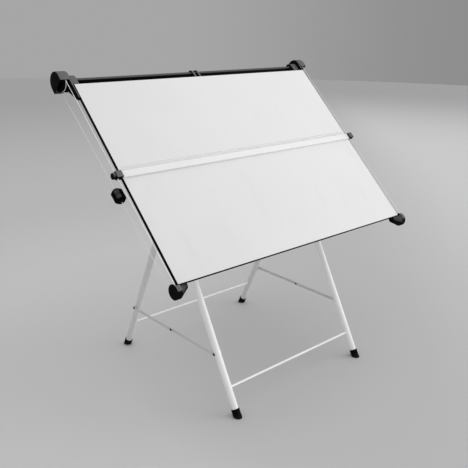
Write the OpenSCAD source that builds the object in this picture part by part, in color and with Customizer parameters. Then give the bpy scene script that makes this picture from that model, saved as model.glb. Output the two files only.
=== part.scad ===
// A drawing board with a counterbalanced parallel ruler, on a folding tube stand.
// X runs along the board, -Y is the draughtsman's side, Z is up, and the origin is
// on the floor, midway between the four feet. The left side is at -X.

/* [Board] */
// Width of the white drawing face
panel_w = 1270; // [1100:5:1400]
// Height of the white drawing face, measured up its slope
panel_h = 880; // [840:5:940]
// Thickness of the board
panel_t = 14; // [12:0.5:18]
// Thickness of the black band round the edge
band_t = 1.2; // [0.8:0.1:2]
// Slope of the drawing face at rest, from level
tilt = 43.8; // [30:0.1:60]
// Slope of the face when the board is laid back
tilt_low = 0; // [0:1:10]
// Slope of the face when the board is raised
tilt_high = 75; // [65:1:76]

/* [Stand] */
// Distance from the front feet to the rear feet
foot_span = 788; // [740:2:840]
// Half the distance between the left and right legs
leg_x = 369; // [300:1:450]
// Outer diameter of the legs
leg_d = 28; // [25:0.5:30]
// Wall of the leg tubes
leg_wall = 1.5; // [1:0.1:2.5]
// Lean of the front legs, from upright
front_lean = 28.75; // [26:0.05:31]
// Lean of the rear posts, from upright
rear_lean = 23.93; // [22:0.01:26]
// Length of a rear post, from the floor to the tilt axis
post_len = 990; // [960:1:1030]
// Part of the post that stands above the tilt axis
post_over = 11; // [9:0.5:12]
// Part of the front leg that stands above its hinge pin
leg_over = 9; // [8:0.5:10]
// Distance between the fold pin and the axis of the rear post
fold_offset = 34; // [32.5:0.5:40]
// Diameter of the thin cross rods
rod_d = 9; // [7:0.5:11]
// Height of the front cross rod
front_rod_z = 104; // [80:1:140]
// Height of the rear cross rod
rear_rod_z = 136; // [110:1:170]
// Diameter of the upper cross tubes
brace_d = 19; // [16:0.5:21]
// Wall of the upper cross tubes
brace_wall = 1.5; // [1:0.1:2]
// Distance from the tilt axis down to the rear cross tube
rear_brace_drop = 46; // [40:1:50]
// Distance from the fold pin down to the front cross tube
front_brace_drop = 62; // [45:1:90]
// Thickness of the end plugs of the tubes
plug_t = 2; // [1.5:0.1:2.4]
// Depth to which the end plugs reach into the tubes
plug_in = 3.5; // [2.5:0.1:4]

/* [Feet] */
// Outer diameter of a rubber foot
foot_d = 35; // [33:0.5:40]
// Length of a rubber foot along its leg
foot_len = 33; // [28:1:45]
// Distance from the floor to the end of the tube inside the foot
foot_sole = 14; // [12:0.5:17]

/* [Stays] */
// Height of the folding stays
stay_z = 229; // [200:1:260]
// Width of the stay bars
stay_w = 14; // [12:0.5:18]
// Thickness of the stay bars
stay_t = 3; // [2:0.25:4]
// Diameter of the bolts that carry the stays
stay_bolt_d = 6; // [5:0.5:7]
// Diameter of the heads of these bolts and of the middle rivet
stay_head_d = 11; // [9:0.5:12]
// Height of these heads
stay_head_t = 3.2; // [2:0.2:4]

/* [Bolts and screws] */
// Height of the bolt heads
head_t = 3; // [2:0.25:3.5]
// Margin of the bolt heads round their shanks
head_margin = 3; // [2:0.25:4]
// Diameter of the wood screws under the board
screw_d = 4; // [3:0.5:5]
// Depth of these screws in the board
screw_in = 9; // [6:0.5:11]
// Diameter of their heads
screw_head_d = 8; // [7:0.5:9]
// Height of their heads
screw_head_t = 2.4; // [1.8:0.2:3]
// Distance from the end of a plate or a ring base to its screws
screw_edge = 12; // [9:1:16]
// Distance from the end of a rail to its screws
rail_screw_edge = 40; // [25:5:80]

/* [Hinge and tilt plates] */
// Thickness of the steel plates
plate_t = 3; // [2:0.25:4]
// Length of the folded bracket that hinges the front leg to the post
bracket_len = 64; // [56:1:80]
// Margin of steel round the fold pin
pin_margin = 9; // [7:0.5:12]
// Diameter of the fold pins
fold_pin_d = 8; // [6:0.5:9]
// Diameter of the bolts through the fold bracket
bracket_bolt_d = 6; // [5:0.5:7]
// Diameter of the tilt bolts
tilt_bolt_d = 10; // [8:0.5:11]
// Distance from the drawing face down to the tilt axis
tilt_drop = 56; // [54:0.5:64]
// Distance from the board's lower edge up to the tilt axis
tilt_s = 452; // [440:1:465]
// Radius of the arc slot that the tilt clamp runs in
slot_r = 85; // [78:1:92]
// Diameter of the clamp studs
stud_d = 8; // [6:0.5:9]
// Margin of steel outside the arc slot
slot_margin = 8; // [6:0.5:10]
// Length of the tilt plates along the board
plate_len = 96; // [84:2:120]
// Turn of the arc slot that is left past each end of the tilt
slot_spare = 10; // [4:1:12]

/* [Tilt knobs] */
// Diameter over the lobes of a tilt knob
knob_d = 46; // [40:1:54]
// Height of a tilt knob
knob_h = 20; // [16:1:26]
// Number of lobes
knob_lobes = 6; // [5:1:7]
// Diameter of the hollows between the lobes
hollow_d = 15; // [10:1:18]
// Depth of these hollows
hollow_in = 5; // [3:0.5:6]
// Diameter of the neck that clamps the quadrant
knob_neck_d = 28; // [20:1:32]
// Height of the neck
knob_neck_h = 6; // [4:0.5:9]
// Wall of the knob past the end of its stud
knob_cap = 3; // [2:0.5:5]

/* [Rails under the board] */
// Width of the box rails
rail_w = 30; // [29:0.5:34]
// Depth of the box rails
rail_h = 20; // [16:0.5:22]
// Wall of the box rails
rail_wall = 1.5; // [1:0.1:2.5]
// Distance from the board's lower edge to the rails
rail_s = 110; // [100:5:160]
// Length of the rails
rail_len = 660; // [600:5:700]

/* [Wire and pulleys] */
// Diameter of the wire
wire_d = 2.2; // [1.6:0.1:2.6]
// Distance from the board's edge out to the wire on the bottom pulleys
wire_out = 14.4; // [13.5:0.1:16]
// Radius at which the wire runs on the top pulleys
top_r = 36; // [32:0.5:38]
// Radius at which the wire runs on the bottom pulleys
bottom_r = 19.5; // [17:0.5:20.5]
// Distance from the board's top edge up to the shaft
shaft_out = 49; // [46:0.5:54]
// Depth of the shaft's axis below the drawing face
shaft_drop = 42.5; // [40:0.5:46]
// Distance from the board's lower edge down to the bottom axles
axle_out = 17.5; // [16.5:0.5:22]
// Depth of the bottom axles below the drawing face
axle_drop = 16.5; // [15:0.5:18]
// Step between the turns of wire on a top pulley
wrap_step = 4.6; // [3:0.1:5]
// Distance from the outer turns of wire to the pulley flanges
groove_side = 2.2; // [1.8:0.1:2.5]
// Height of the pulley flanges above the wire's centre line
flange_up = 2; // [1.5:0.25:2.5]
// Thickness of the flanges of the top pulleys
flange_t = 2.5; // [2:0.25:3]
// Thickness of the flanges of the bottom pulleys
rim_t = 1.25; // [1:0.25:1.5]
// Outer diameter of the shaft
shaft_d = 22; // [18:0.5:24]
// Wall of the shaft
shaft_wall = 2; // [1.5:0.1:3]
// Diameter of the bottom axles
axle_d = 8; // [6:0.5:9]

/* [Corner units] */
// Thickness of the cheek beside the board's edge
cheek_t = 5.3; // [4:0.1:5.5]
// Thickness of the bracket plates under the board
base_t = 6; // [5:0.25:7]
// Width of the bracket plates
base_w = 30; // [26:1:40]
// Distance from the board's edge in to the bracket plates
base_inset = 6; // [5.5:0.25:10]
// Length of the top bracket under the board
top_base_len = 80; // [66:1:90]
// Length of the bottom bracket under the board
bottom_base_len = 70; // [60:1:90]
// Wall of the hubs of the top pulleys
hub_wall = 4.5; // [3.5:0.25:5]
// Radius of the root of the arms, where they leave the bracket plates
arm_root_r = 8; // [6:0.5:10]
// Distance from the board's top edge down to the root of the arms
arm_root_s = 20; // [14:1:26]
// Radius of the seat of the axle in a bottom bracket
axle_boss_r = 14; // [10:0.5:15]
// Radius of the wide end of the boss of a bottom bracket
boss_wide_r = 26.5; // [24:0.5:27]
// Radius of its narrow end
boss_narrow_r = 14.5; // [12:0.5:16]
// Distance from the bracket plate to this narrow end
boss_past = 2; // [1:0.5:6]
// Distance from the board's lower edge down to the middle of the narrow end
boss_narrow_out = 6; // [4:0.5:10]
// Depth of the middle of the narrow end below the drawing face
boss_narrow_drop = 18; // [17:0.5:22]
// Radius of the round part of the cheek, about the shaft
cheek_r = 40; // [38:0.5:40]
// Radius of the broad end of the cheek's beak
beak_r = 31; // [28:0.5:33]
// Height of the middle of this broad end above the shaft
beak_up = 6.5; // [4:0.5:7]
// Radius of the nose of the cheek, beside the board's edge
nose_r = 9; // [7:0.5:12]
// Distance from the board's top edge down to the centre of the nose
nose_s = 58; // [45:1:65]
// Depth of the nose's centre below the drawing face
nose_drop = 11; // [10:0.5:14]
// Length of the axle's seat in a bottom cover
axle_seat = 1.5; // [1:0.25:1.5]
// Wall of the top covers
cover_wall = 2; // [1.5:0.25:3]
// Width of a top cover along the shaft
top_cover_w = 38.5; // [34:0.5:46]
// Distance from the shaft down the board to the open side of a top cover
top_cover_skirt = 22.3; // [18:0.1:28]
// Radius of a bottom cover
bottom_cover_r = 28.5; // [27:0.5:32]
// Wall of a bottom cover
bottom_cover_wall = 2.5; // [2:0.25:3]
// Thickness of the face of a bottom cover
bottom_face_t = 2.5; // [2.5:0.25:4]
// Distance past the axle at which the wall of a bottom cover stops
bottom_cover_skirt = 12; // [6:1:13]

/* [Middle bearing] */
// Width of the middle bearing along the shaft
bearing_w = 36; // [32:1:60]
// Distance from the middle of the board to the middle bearing, on the left
bearing_left = 12; // [0:1:20]
// Width of each of its two rings
ring_w = 10; // [7:0.5:12]
// Wall of its rings
ring_wall = 6; // [4:0.5:7]
// Length of its base under the board
bearing_base = 46; // [36:1:60]

/* [Ruler] */
// Distance from the board's lower edge up to the ruler, at rest
ruler_s = 441; // [400:1:460]
// Width of the white beam
beam_w = 28; // [24:0.5:34]
// Thickness of the white beam
beam_h = 8.5; // [7:0.25:10]
// Wall of the hollow beam
beam_wall = 1.8; // [1.4:0.1:2]
// Gap between the ruler and the drawing face
ruler_gap = 0.5; // [0.3:0.1:2]
// Width of the clear strip that stands out from the beam
strip_w = 21; // [16:0.5:26]
// Width of the clear strip that is held under the beam
strip_seat = 6; // [4:0.5:8]
// Thickness of the clear strip
strip_t = 2.5; // [2:0.1:3]
// Distance from the board's edge in to the end of the clear strip
strip_in = 17; // [5:1:40]
// Width of an end block along the board
block_w = 26; // [23:0.5:30]
// Length of an end block up the board
block_l = 27; // [24:0.5:32]
// Height of an end block's top above the drawing face
block_up = 16; // [13:0.5:20]
// Depth of an end block below the drawing face
block_down = 7; // [4:0.5:8]
// Diameter of the brake knob
brake_d = 25; // [20:0.5:28]
// Thickness of the brake knob
brake_t = 12; // [9:0.5:15]
// Diameter of the stem of the brake knob
brake_stem_d = 6; // [4:0.5:7]
// Diameter of the neck of the brake knob
brake_neck_d = 18; // [12:0.5:19]
// Thickness of its neck
brake_neck_t = 2; // [1:0.25:4]
// Height of the brake knob's axis above the drawing face
brake_up = 3; // [2:0.25:4]

/* [Counterweights] */
// Diameter of a counterweight
weight_d = 45; // [40:1:48]
// Length of a counterweight
weight_len = 55; // [45:1:60]
// Chamfer at its ends
weight_cut = 10; // [5:0.5:10]
// Wall of the plastic jacket round the steel core
jacket = 7.5; // [6:0.25:10]
// Distance from the board's lower edge up to the counterweights, at rest
weight_s = 405; // [390:1:410]

/* [Clearances] */
// Gap between flat faces of pieces that move past each other
gap = 0.5; // [0.3:0.05:0.8]
// Radial clearance of a pin or shaft that turns in a hole
fit = 0.07; // [0.05:0.01:0.1]
// Clearance round the wire
wire_gap = 0.3; // [0.25:0.05:0.5]

/* [Hidden] */
$fn = 48;
white_paint = "#ececec";
black_plastic = "#242424";
rubber = "#161616";
steel = "#b4b6b8";

// Side view of the stand, as [y, z]
front_foot_y = -foot_span / 2;
rear_foot_y = foot_span / 2;
leg_r = leg_d / 2;
meet_z = foot_span / (tan(front_lean) + tan(rear_lean));
front_len = meet_z / cos(front_lean) - fold_offset / sin(front_lean + rear_lean);
fold_y = front_foot_y + front_len * sin(front_lean);
fold_z = front_len * cos(front_lean);
fold_at = (rear_foot_y - fold_y) * sin(rear_lean) + fold_z * cos(rear_lean);
tilt_y = rear_foot_y - post_len * sin(rear_lean);
tilt_z = post_len * cos(rear_lean);
rear_stay_y = rear_foot_y - stay_z * tan(rear_lean);
front_stay_y = front_foot_y + stay_z * tan(front_lean);
stay_len = (rear_stay_y - front_stay_y) / 2;
stay_head_r = stay_head_d / 2;
brace_reach = leg_x - leg_r / 2;

// Folded bracket: the flanges lie beside the leg and the web lies behind the post
pin_pad_r = fold_pin_d / 2 + pin_margin;
web_in = leg_r + gap;
bracket_back = web_in + plate_t;
bracket_bolt_step = bracket_len / 2 - bracket_bolt_d - head_margin;

// Layers along X, outwards from the middle of a leg
bracket_in = leg_r + gap;
front_stay_x = leg_x + leg_r + 2 * gap;
rear_stay_x = front_stay_x + stay_t + gap;
plate_x = rail_w / 2;
quadrant_out = leg_x + plate_x + plate_t;
slot_end_low = rear_lean - 90 - tilt_low;
slot_end_high = rear_lean - 90 - tilt_high;

// The board's own axes: x along the board, s up its slope, n out of its face
edge_x = panel_w / 2 + band_t;
cheek_x = edge_x + gap;
cheek_out = cheek_x + cheek_t;
base_x = edge_x - base_inset - base_w;
wire_x = edge_x + wire_out;
shaft_s = panel_h + shaft_out;
shaft_n = -shaft_drop;
axle_s = -axle_out;
axle_n = -axle_drop;
base_n = -panel_t - base_t;
top_flange_r = top_r + flange_up;
bottom_flange_r = bottom_r + flange_up;
top_groove_r = top_r - wire_d / 2 - wire_gap;
bottom_groove_r = bottom_r - wire_d / 2 - wire_gap;
wire_way_r = wire_d / 2 + wire_gap;

// The upper and the return run of the wire are the two tangents of the pulleys
run_s = shaft_s - axle_s;
run_n = shaft_n - axle_n;
run_slope = atan2(run_n, run_s);
run_spread = asin((top_r - bottom_r) / norm([run_s, run_n]));
upper_angle = run_slope + run_spread;
return_angle = run_slope - run_spread;
top_turn = 540 - return_angle + upper_angle;
top_wire_x = wire_x + wrap_step * top_turn / 360;

top_drum_x = wire_x - groove_side - flange_t;
top_drum_w = top_wire_x - wire_x + 2 * groove_side + 2 * flange_t;
bottom_wheel_x = wire_x - groove_side - rim_t;
bottom_wheel_w = 2 * groove_side + 2 * rim_t;
hub_x = cheek_out + 2 * gap;
hub_r = shaft_d / 2 + hub_wall;
cover_inner_r = top_flange_r + gap;
cover_outer_r = cover_inner_r + cover_wall;
bottom_face_x = bottom_wheel_x + bottom_wheel_w + gap;
beam_n = ruler_gap;
rail_n = -panel_t - rail_h;

// Four-sided polygon that, with its two circles, makes their outer tangent shape. Its
// sides lie a hair inside the tangents, so that they cross the circles cleanly.
side_in = 0.05;

function link_points(a, ra, b, rb) =
    let (d = b - a, t = atan2(d[1], d[0]), w = acos((ra - rb) / norm(d)))
    [a + ra * [cos(t + w), sin(t + w)], a + ra * [cos(t - w), sin(t - w)],
     b + rb * [cos(t - w), sin(t - w)], b + rb * [cos(t + w), sin(t + w)]];

module tapered_link(a, ra, b, rb) {
    translate(a) circle(ra);
    translate(b) circle(rb);
    polygon(link_points(a, ra - side_in, b, rb - side_in));
}

// Places a flat outline drawn in a side view so that it is extruded along +X
module side_plate(x, t) {
    translate([x, 0, 0]) rotate([90, 0, 90]) linear_extrude(t) children();
}

// A round bar along +X
module x_bar(x, length, r) {
    translate([x, 0, 0]) rotate([0, 90, 0]) cylinder(h = length, r = r);
}

// Axes of a front leg and of a rear post: z runs up the tube from the floor
module on_front() {
    translate([0, front_foot_y, 0]) rotate([-front_lean, 0, 0]) children();
}

module on_rear() {
    translate([0, rear_foot_y, 0]) rotate([rear_lean, 0, 0]) children();
}

// Axes of the board: x along it, y up its slope, z out of its face
module on_board() {
    translate([0, tilt_y, tilt_z]) rotate([tilt, 0, 0])
        translate([0, -tilt_s, tilt_drop]) children();
}

module left() {
    mirror([1, 0, 0]) children();
}

module both() {
    children();
    left() children();
}

// A leg tube from its foot to a given height, and the holes across it
module leg_tube(top) {
    translate([leg_x, 0, foot_sole]) difference() {
        cylinder(h = top - foot_sole, r = leg_r);
        translate([0, 0, -1]) cylinder(h = top - foot_sole + 2, r = leg_r - leg_wall);
    }
}

module cross_hole(z, d) {
    translate([leg_x, 0, z]) x_bar(-leg_d, 2 * leg_d, d / 2);
}

module inner_hole(z, d) {
    translate([leg_x, 0, z]) x_bar(-leg_d, leg_d, d / 2);
}

module rear_post() {
    color(white_paint) on_rear() difference() {
        leg_tube(post_len + post_over);
        cross_hole(post_len, tilt_bolt_d);
        cross_hole(post_len - slot_r, stud_d);
        cross_hole(fold_at - bracket_bolt_step, bracket_bolt_d);
        cross_hole(fold_at + bracket_bolt_step, bracket_bolt_d);
        cross_hole(stay_z / cos(rear_lean), stay_bolt_d);
        inner_hole(rear_rod_z / cos(rear_lean), rod_d);
        inner_hole(post_len - rear_brace_drop, brace_d);
    }
}

module front_leg() {
    color(white_paint) on_front() difference() {
        leg_tube(front_len + leg_over);
        cross_hole(front_len, fold_pin_d + 2 * fit);
        cross_hole(stay_z / cos(front_lean), stay_bolt_d);
        inner_hole(front_rod_z / cos(front_lean), rod_d);
        inner_hole(front_len - front_brace_drop, brace_d);
    }
}

// Cross rods and tubes run from the hollow of one leg to that of the other
module cross_rod(z) {
    translate([0, 0, z]) x_bar(-brace_reach, 2 * brace_reach, rod_d / 2);
}

module cross_tube(z) {
    translate([0, 0, z]) difference() {
        x_bar(-brace_reach, 2 * brace_reach, brace_d / 2);
        x_bar(-brace_reach - 1, 2 * brace_reach + 2, brace_d / 2 - brace_wall);
    }
}

module rear_cross_rod() {
    color(white_paint) on_rear() cross_rod(rear_rod_z / cos(rear_lean));
}

module rear_cross_tube() {
    color(white_paint) on_rear() cross_tube(post_len - rear_brace_drop);
}

module front_cross_rod() {
    color(white_paint) on_front() cross_rod(front_rod_z / cos(front_lean));
}

module front_cross_tube() {
    color(white_paint) on_front() cross_tube(front_len - front_brace_drop);
}

// A rubber ferrule along its leg, cut level where it meets the floor
module foot_sleeve() {
    difference() {
        translate([leg_x, 0, -foot_d]) cylinder(h = foot_d + foot_len, r = foot_d / 2);
        translate([leg_x, 0, foot_sole]) cylinder(h = foot_len, r = leg_r);
    }
}

module above_floor() {
    intersection() {
        children();
        translate([0, -foot_span, 0]) cube([2 * leg_x, 2 * foot_span, 4 * foot_len]);
    }
}

module rear_foot() {
    color(rubber) above_floor() on_rear() foot_sleeve();
}

module front_foot() {
    color(rubber) above_floor() on_front() foot_sleeve();
}

module tube_plug(z) {
    translate([leg_x, 0, z]) {
        cylinder(h = plug_t, r1 = leg_r, r2 = leg_r - plug_t / 2);
        translate([0, 0, -plug_in]) cylinder(h = plug_in, r = leg_r - leg_wall);
    }
}

module post_plugs() {
    color(black_plastic) both() on_rear() tube_plug(post_len + post_over);
}

module front_leg_plugs() {
    color(black_plastic) both() on_front() tube_plug(front_len + leg_over);
}

// A channel of folded steel behind the post; its two flanges carry the fold pin
module flange_outline() {
    difference() {
        union() {
            tapered_link([-fold_offset, 0], pin_pad_r, [0, 0], pin_pad_r);
            translate([-leg_r, -bracket_len / 2]) square([leg_r + bracket_back, bracket_len]);
        }
        translate([-fold_offset, 0]) circle(fold_pin_d / 2);
        for (z = [-bracket_bolt_step, bracket_bolt_step])
            translate([0, z]) circle(bracket_bolt_d / 2);
    }
}

module fold_bracket() {
    color(black_plastic) on_rear() translate([leg_x, 0, fold_at]) {
        side_plate(bracket_in, plate_t) flange_outline();
        side_plate(-bracket_in - plate_t, plate_t) flange_outline();
        translate([-bracket_in, web_in, -bracket_len / 2])
            cube([2 * bracket_in, plate_t, bracket_len]);
    }
}

// A bolt along X through a leg, with a round head at each end
module cross_bolt(d, reach) {
    x_bar(-reach, 2 * reach, d / 2);
    x_bar(reach, head_t, d / 2 + head_margin);
    x_bar(-reach - head_t, head_t, d / 2 + head_margin);
}

module fold_pins() {
    reach = bracket_in + plate_t;
    color(steel) both() on_rear() translate([leg_x, -fold_offset, fold_at])
        cross_bolt(fold_pin_d, reach);
}

stay_bolt_in = leg_x - leg_r;

module rear_frame_bolts() {
    reach = bracket_in + plate_t;
    color(black_plastic) both() on_rear() {
        for (z = [-bracket_bolt_step, bracket_bolt_step])
            translate([leg_x, 0, fold_at + z]) cross_bolt(bracket_bolt_d, reach);
        translate([0, 0, stay_z / cos(rear_lean)]) {
            x_bar(leg_x + leg_r, rear_stay_x - leg_x - leg_r - gap / 2, stay_head_r);
            x_bar(rear_stay_x + stay_t + gap / 2, stay_head_t, stay_head_r);
            x_bar(stay_bolt_in, rear_stay_x + stay_t + gap - stay_bolt_in, stay_bolt_d / 2);
            x_bar(stay_bolt_in - stay_head_t, stay_head_t, stay_head_r);
        }
    }
}

module front_stay_bolts() {
    color(black_plastic) both() on_front() translate([0, 0, stay_z / cos(front_lean)]) {
        x_bar(front_stay_x + stay_t + gap / 2, stay_head_t, stay_head_r);
        x_bar(stay_bolt_in, front_stay_x + stay_t + gap - stay_bolt_in, stay_bolt_d / 2);
        x_bar(stay_bolt_in - stay_head_t, stay_head_t, stay_head_r);
    }
}

// A stay bar from its bolt to the middle rivet, flat in the side view
module stay_bar(x, start, end) {
    side_plate(x, stay_t) difference() {
        tapered_link(start, stay_w / 2, end, stay_w / 2);
        translate(start) circle(stay_bolt_d / 2 + fit);
    }
}

module rear_stay() {
    middle = [rear_stay_y - stay_len, stay_z];
    color(white_paint) stay_bar(rear_stay_x, [rear_stay_y, stay_z], middle);
    color(black_plastic) translate([0, middle[0], middle[1]])
        x_bar(rear_stay_x + stay_t, stay_head_t, stay_head_r);
}

module front_stay() {
    middle = [front_stay_y + stay_len, stay_z];
    color(white_paint) stay_bar(front_stay_x, [front_stay_y, stay_z], middle);
}

// Tilt bolts with their washers, and the studs that the tilt knobs turn on
washer_t = plate_x - leg_r - gap / 2;
bolt_reach = plate_x + plate_t + gap / 2;

module tilt_bolts() {
    color(steel) both() on_rear() translate([leg_x, 0, post_len]) {
        cross_bolt(tilt_bolt_d, bolt_reach);
        for (x = [leg_r, -leg_r - washer_t]) x_bar(x, washer_t, tilt_bolt_d);
    }
}

module clamp_studs() {
    color(steel) both() on_rear() translate([leg_x, 0, post_len - slot_r]) {
        x_bar(-leg_r, leg_r + plate_x + plate_t + knob_h - knob_cap, stud_d / 2);
        x_bar(-leg_r - head_t, head_t, stud_d / 2 + head_margin);
        x_bar(leg_r, washer_t, stud_d);
    }
}

knob_x = leg_x + plate_x + plate_t + gap;
hollow_at = knob_d / 2 + hollow_d / 2 - hollow_in;

module tilt_knob() {
    color(black_plastic) on_rear() translate([knob_x, 0, post_len - slot_r])
        rotate([0, 90, 0]) difference() {
            union() {
                cylinder(h = knob_neck_h + 1, r = knob_neck_d / 2);
                translate([0, 0, knob_neck_h])
                    cylinder(h = knob_h - knob_neck_h, r = knob_d / 2);
            }
            for (k = [0:knob_lobes - 1]) rotate([0, 0, k * 360 / knob_lobes])
                translate([hollow_at, 0, -1]) cylinder(h = knob_h + 2, r = hollow_d / 2);
            translate([0, 0, -1]) cylinder(h = knob_h - knob_cap + 1, r = stud_d / 2 + fit);
        }
}

// Screws into the back of the board, as [x, s, how far below the back the head sits]
function plate_screws(x, from, to, edge, below) =
    [for (s = [from + edge, to - edge]) [x, s, below]];

side_spots = concat(
    plate_screws(leg_x, rail_s, rail_s + rail_len, rail_screw_edge, rail_h),
    plate_screws(base_x + base_w / 2, panel_h - top_base_len,
        panel_h - arm_root_s - arm_root_r, screw_edge, base_t),
    plate_screws(base_x + base_w / 2, boss_wide_r - axle_out, bottom_base_len, screw_edge, base_t));
bearing_spots = [for (side = [-1, 1]) [side * (bearing_w / 2 - screw_edge) - bearing_left,
    panel_h - bearing_base + screw_edge, base_t]];

module shanks(spots) {
    for (p = spots) translate([p[0], p[1], -panel_t - p[2]])
        cylinder(h = p[2] + screw_in, r = screw_d / 2);
}

module heads(spots) {
    for (p = spots) translate([p[0], p[1], -panel_t - p[2] - screw_head_t])
        cylinder(h = screw_head_t, d1 = screw_head_d - screw_head_t, d2 = screw_head_d);
}

module board_screws() {
    color(steel) on_board() {
        both() shanks(side_spots);
        both() heads(side_spots);
        shanks(bearing_spots);
        heads(bearing_spots);
    }
}

module board_panel() {
    color("#f2f2f2") on_board() difference() {
        translate([-panel_w / 2, 0, -panel_t]) cube([panel_w, panel_h, panel_t]);
        both() shanks(side_spots);
        shanks(bearing_spots);
    }
}

module edge_bands() {
    color(black_plastic) on_board() translate([0, 0, -panel_t]) {
        for (s = [-band_t, panel_h])
            translate([-edge_x, s, 0]) cube([2 * edge_x, band_t, panel_t]);
        both() translate([panel_w / 2, 0, 0]) cube([band_t, panel_h, panel_t]);
    }
}

// Box rails, with the tilt plates bolted to both sides of each
module rail() {
    color(white_paint) on_board() difference() {
        translate([leg_x - rail_w / 2, rail_s, rail_n]) difference() {
            cube([rail_w, rail_len, rail_h]);
            translate([rail_wall, -1, rail_wall])
                cube([rail_w - 2 * rail_wall, rail_len + 2, rail_h - 2 * rail_wall]);
        }
        shanks(side_spots);
    }
}

plate_pad_r = tilt_bolt_d / 2 + pin_margin;

module plate_outline() {
    axis = [tilt_s, -tilt_drop];
    polygon([[tilt_s - plate_len / 2, -panel_t - 1], [tilt_s - plate_len / 2, rail_n],
        [tilt_s - plate_pad_r, -tilt_drop], [tilt_s + plate_pad_r, -tilt_drop],
        [tilt_s + plate_len / 2, rail_n], [tilt_s + plate_len / 2, -panel_t - 1]]);
    translate(axis) circle(plate_pad_r);
}

module tilt_hole() {
    translate([tilt_s, -tilt_drop]) circle(tilt_bolt_d / 2 + fit);
}

module inner_tilt_plates() {
    color(steel) both() on_board() side_plate(leg_x - plate_x - plate_t, plate_t)
        difference() {
            plate_outline();
            tilt_hole();
        }
}

// The arc of the quadrant, as a wedge of a disc with a curved slot through it
module arc_slot(x, t, half_w) {
    span = slot_end_low - slot_end_high;
    translate([x, tilt_s, -tilt_drop]) rotate([90, 0, 90]) rotate([0, 0, slot_end_high]) {
        rotate_extrude(angle = span, $fn = 96) translate([slot_r - half_w, 0]) square([2 * half_w, t]);
        for (a = [0, span]) rotate([0, 0, a]) translate([slot_r, 0, 0]) cylinder(h = t, r = half_w);
    }
}

slot_half = stud_d / 2 + 2 * gap / 3;
quadrant_r = slot_r + slot_half + slot_margin;

module quadrant_wedge() {
    far = 2 * quadrant_r;
    low = slot_end_low + slot_spare;
    high = slot_end_high - slot_spare;
    middle = (low + high) / 2;
    translate([tilt_s, -tilt_drop]) intersection() {
        circle(quadrant_r, $fn = 96);
        polygon([[0, 0], far * [cos(high), sin(high)], far * [cos(middle), sin(middle)],
            far * [cos(low), sin(low)]]);
    }
}

module quadrant() {
    color(steel) on_board() difference() {
        side_plate(leg_x + plate_x, plate_t) difference() {
            union() {
                plate_outline();
                quadrant_wedge();
            }
            tilt_hole();
        }
        arc_slot(leg_x + plate_x - 1, plate_t + 2, slot_half);
    }
}

// An arm from under the board to a ring about the shaft, and the plate it grows from
module arm_outline(r) {
    root_n = base_n + base_t / 2 - arm_root_r;
    tapered_link([shaft_s, shaft_n], r, [panel_h - arm_root_s, root_n], arm_root_r);
}

module base_outline(from, to) {
    translate([from, base_n]) square([to - from, base_t]);
}

// Top brackets: plate, arm, and a cheek beside the board's edge that the cover sits on
module cheek_outline() {
    translate([shaft_s, shaft_n]) circle(cheek_r);
    tapered_link([shaft_s, shaft_n + beak_up], beak_r, [panel_h - nose_s, -nose_drop], nose_r);
}

module top_bracket() {
    color(black_plastic) on_board() difference() {
        union() {
            side_plate(base_x, base_w) base_outline(panel_h - top_base_len, panel_h);
            side_plate(base_x, cheek_x - base_x) arm_outline(base_n - shaft_n);
            side_plate(cheek_x, cheek_t) cheek_outline();
        }
        translate([0, shaft_s, shaft_n])
            x_bar(base_x - 1, cheek_out - base_x + 2, shaft_d / 2 + fit);
        shanks(side_spots);
    }
}

// Bottom brackets: plate, and a tapered boss that carries the axle below the edge
module tapered_boss() {
    narrow_x = base_x - boss_past;
    hull() {
        translate([0, -boss_narrow_out, -boss_narrow_drop])
            x_bar(narrow_x, 1, boss_narrow_r, $fn = 32);
        translate([0, axle_s, axle_n]) x_bar(edge_x - 1, 1, boss_wide_r, $fn = 32);
    }
}

module bottom_bracket() {
    color(black_plastic) on_board() difference() {
        union() {
            side_plate(base_x, base_w) base_outline(-boss_narrow_out, bottom_base_len);
            tapered_boss();
            translate([0, axle_s, axle_n]) x_bar(edge_x - 1, cheek_out - edge_x + 1, axle_boss_r);
        }
        translate([base_x - base_w, -band_t - gap, -panel_t])
            cube([3 * base_w, bottom_base_len + 2 * axle_out, panel_t + boss_wide_r]);
        translate([0, axle_s, axle_n]) x_bar(axle_in, cheek_out, axle_d / 2);
        shanks(side_spots);
    }
}

// Axles are pressed into the bottom brackets and carry the bottom covers
axle_in = base_x + base_inset;

module bottom_axles() {
    color(steel) both() on_board() translate([0, axle_s, axle_n])
        x_bar(axle_in, bottom_face_x + axle_seat - axle_in, axle_d / 2);
}

module top_cover_outline(r, skirt) {
    translate([shaft_s, shaft_n]) {
        circle(r, $fn = 96);
        translate([-skirt, -r]) square([skirt, 2 * r]);
    }
}

module top_cover() {
    color(black_plastic) on_board() difference() {
        side_plate(cheek_out, top_cover_w) top_cover_outline(cover_outer_r, top_cover_skirt);
        side_plate(cheek_out - 1, top_cover_w + 1 - cover_wall)
            top_cover_outline(cover_inner_r, top_cover_skirt + 1);
    }
}

module bottom_cover() {
    wall_x = edge_x + 2 * gap;
    color(black_plastic) on_board() translate([0, axle_s, axle_n]) difference() {
        union() {
            x_bar(bottom_face_x, bottom_face_t, bottom_cover_r);
            difference() {
                x_bar(wall_x, bottom_face_x - wall_x, bottom_cover_r);
                x_bar(wall_x - 1, bottom_face_x - wall_x + 2, bottom_cover_r - bottom_cover_wall);
                translate([wall_x - 1, bottom_cover_skirt, -2 * bottom_cover_r])
                    cube([bottom_face_x, 2 * bottom_cover_r, 4 * bottom_cover_r]);
            }
        }
        x_bar(bottom_face_x - 1, axle_seat + 1, axle_d / 2);
    }
}

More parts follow.
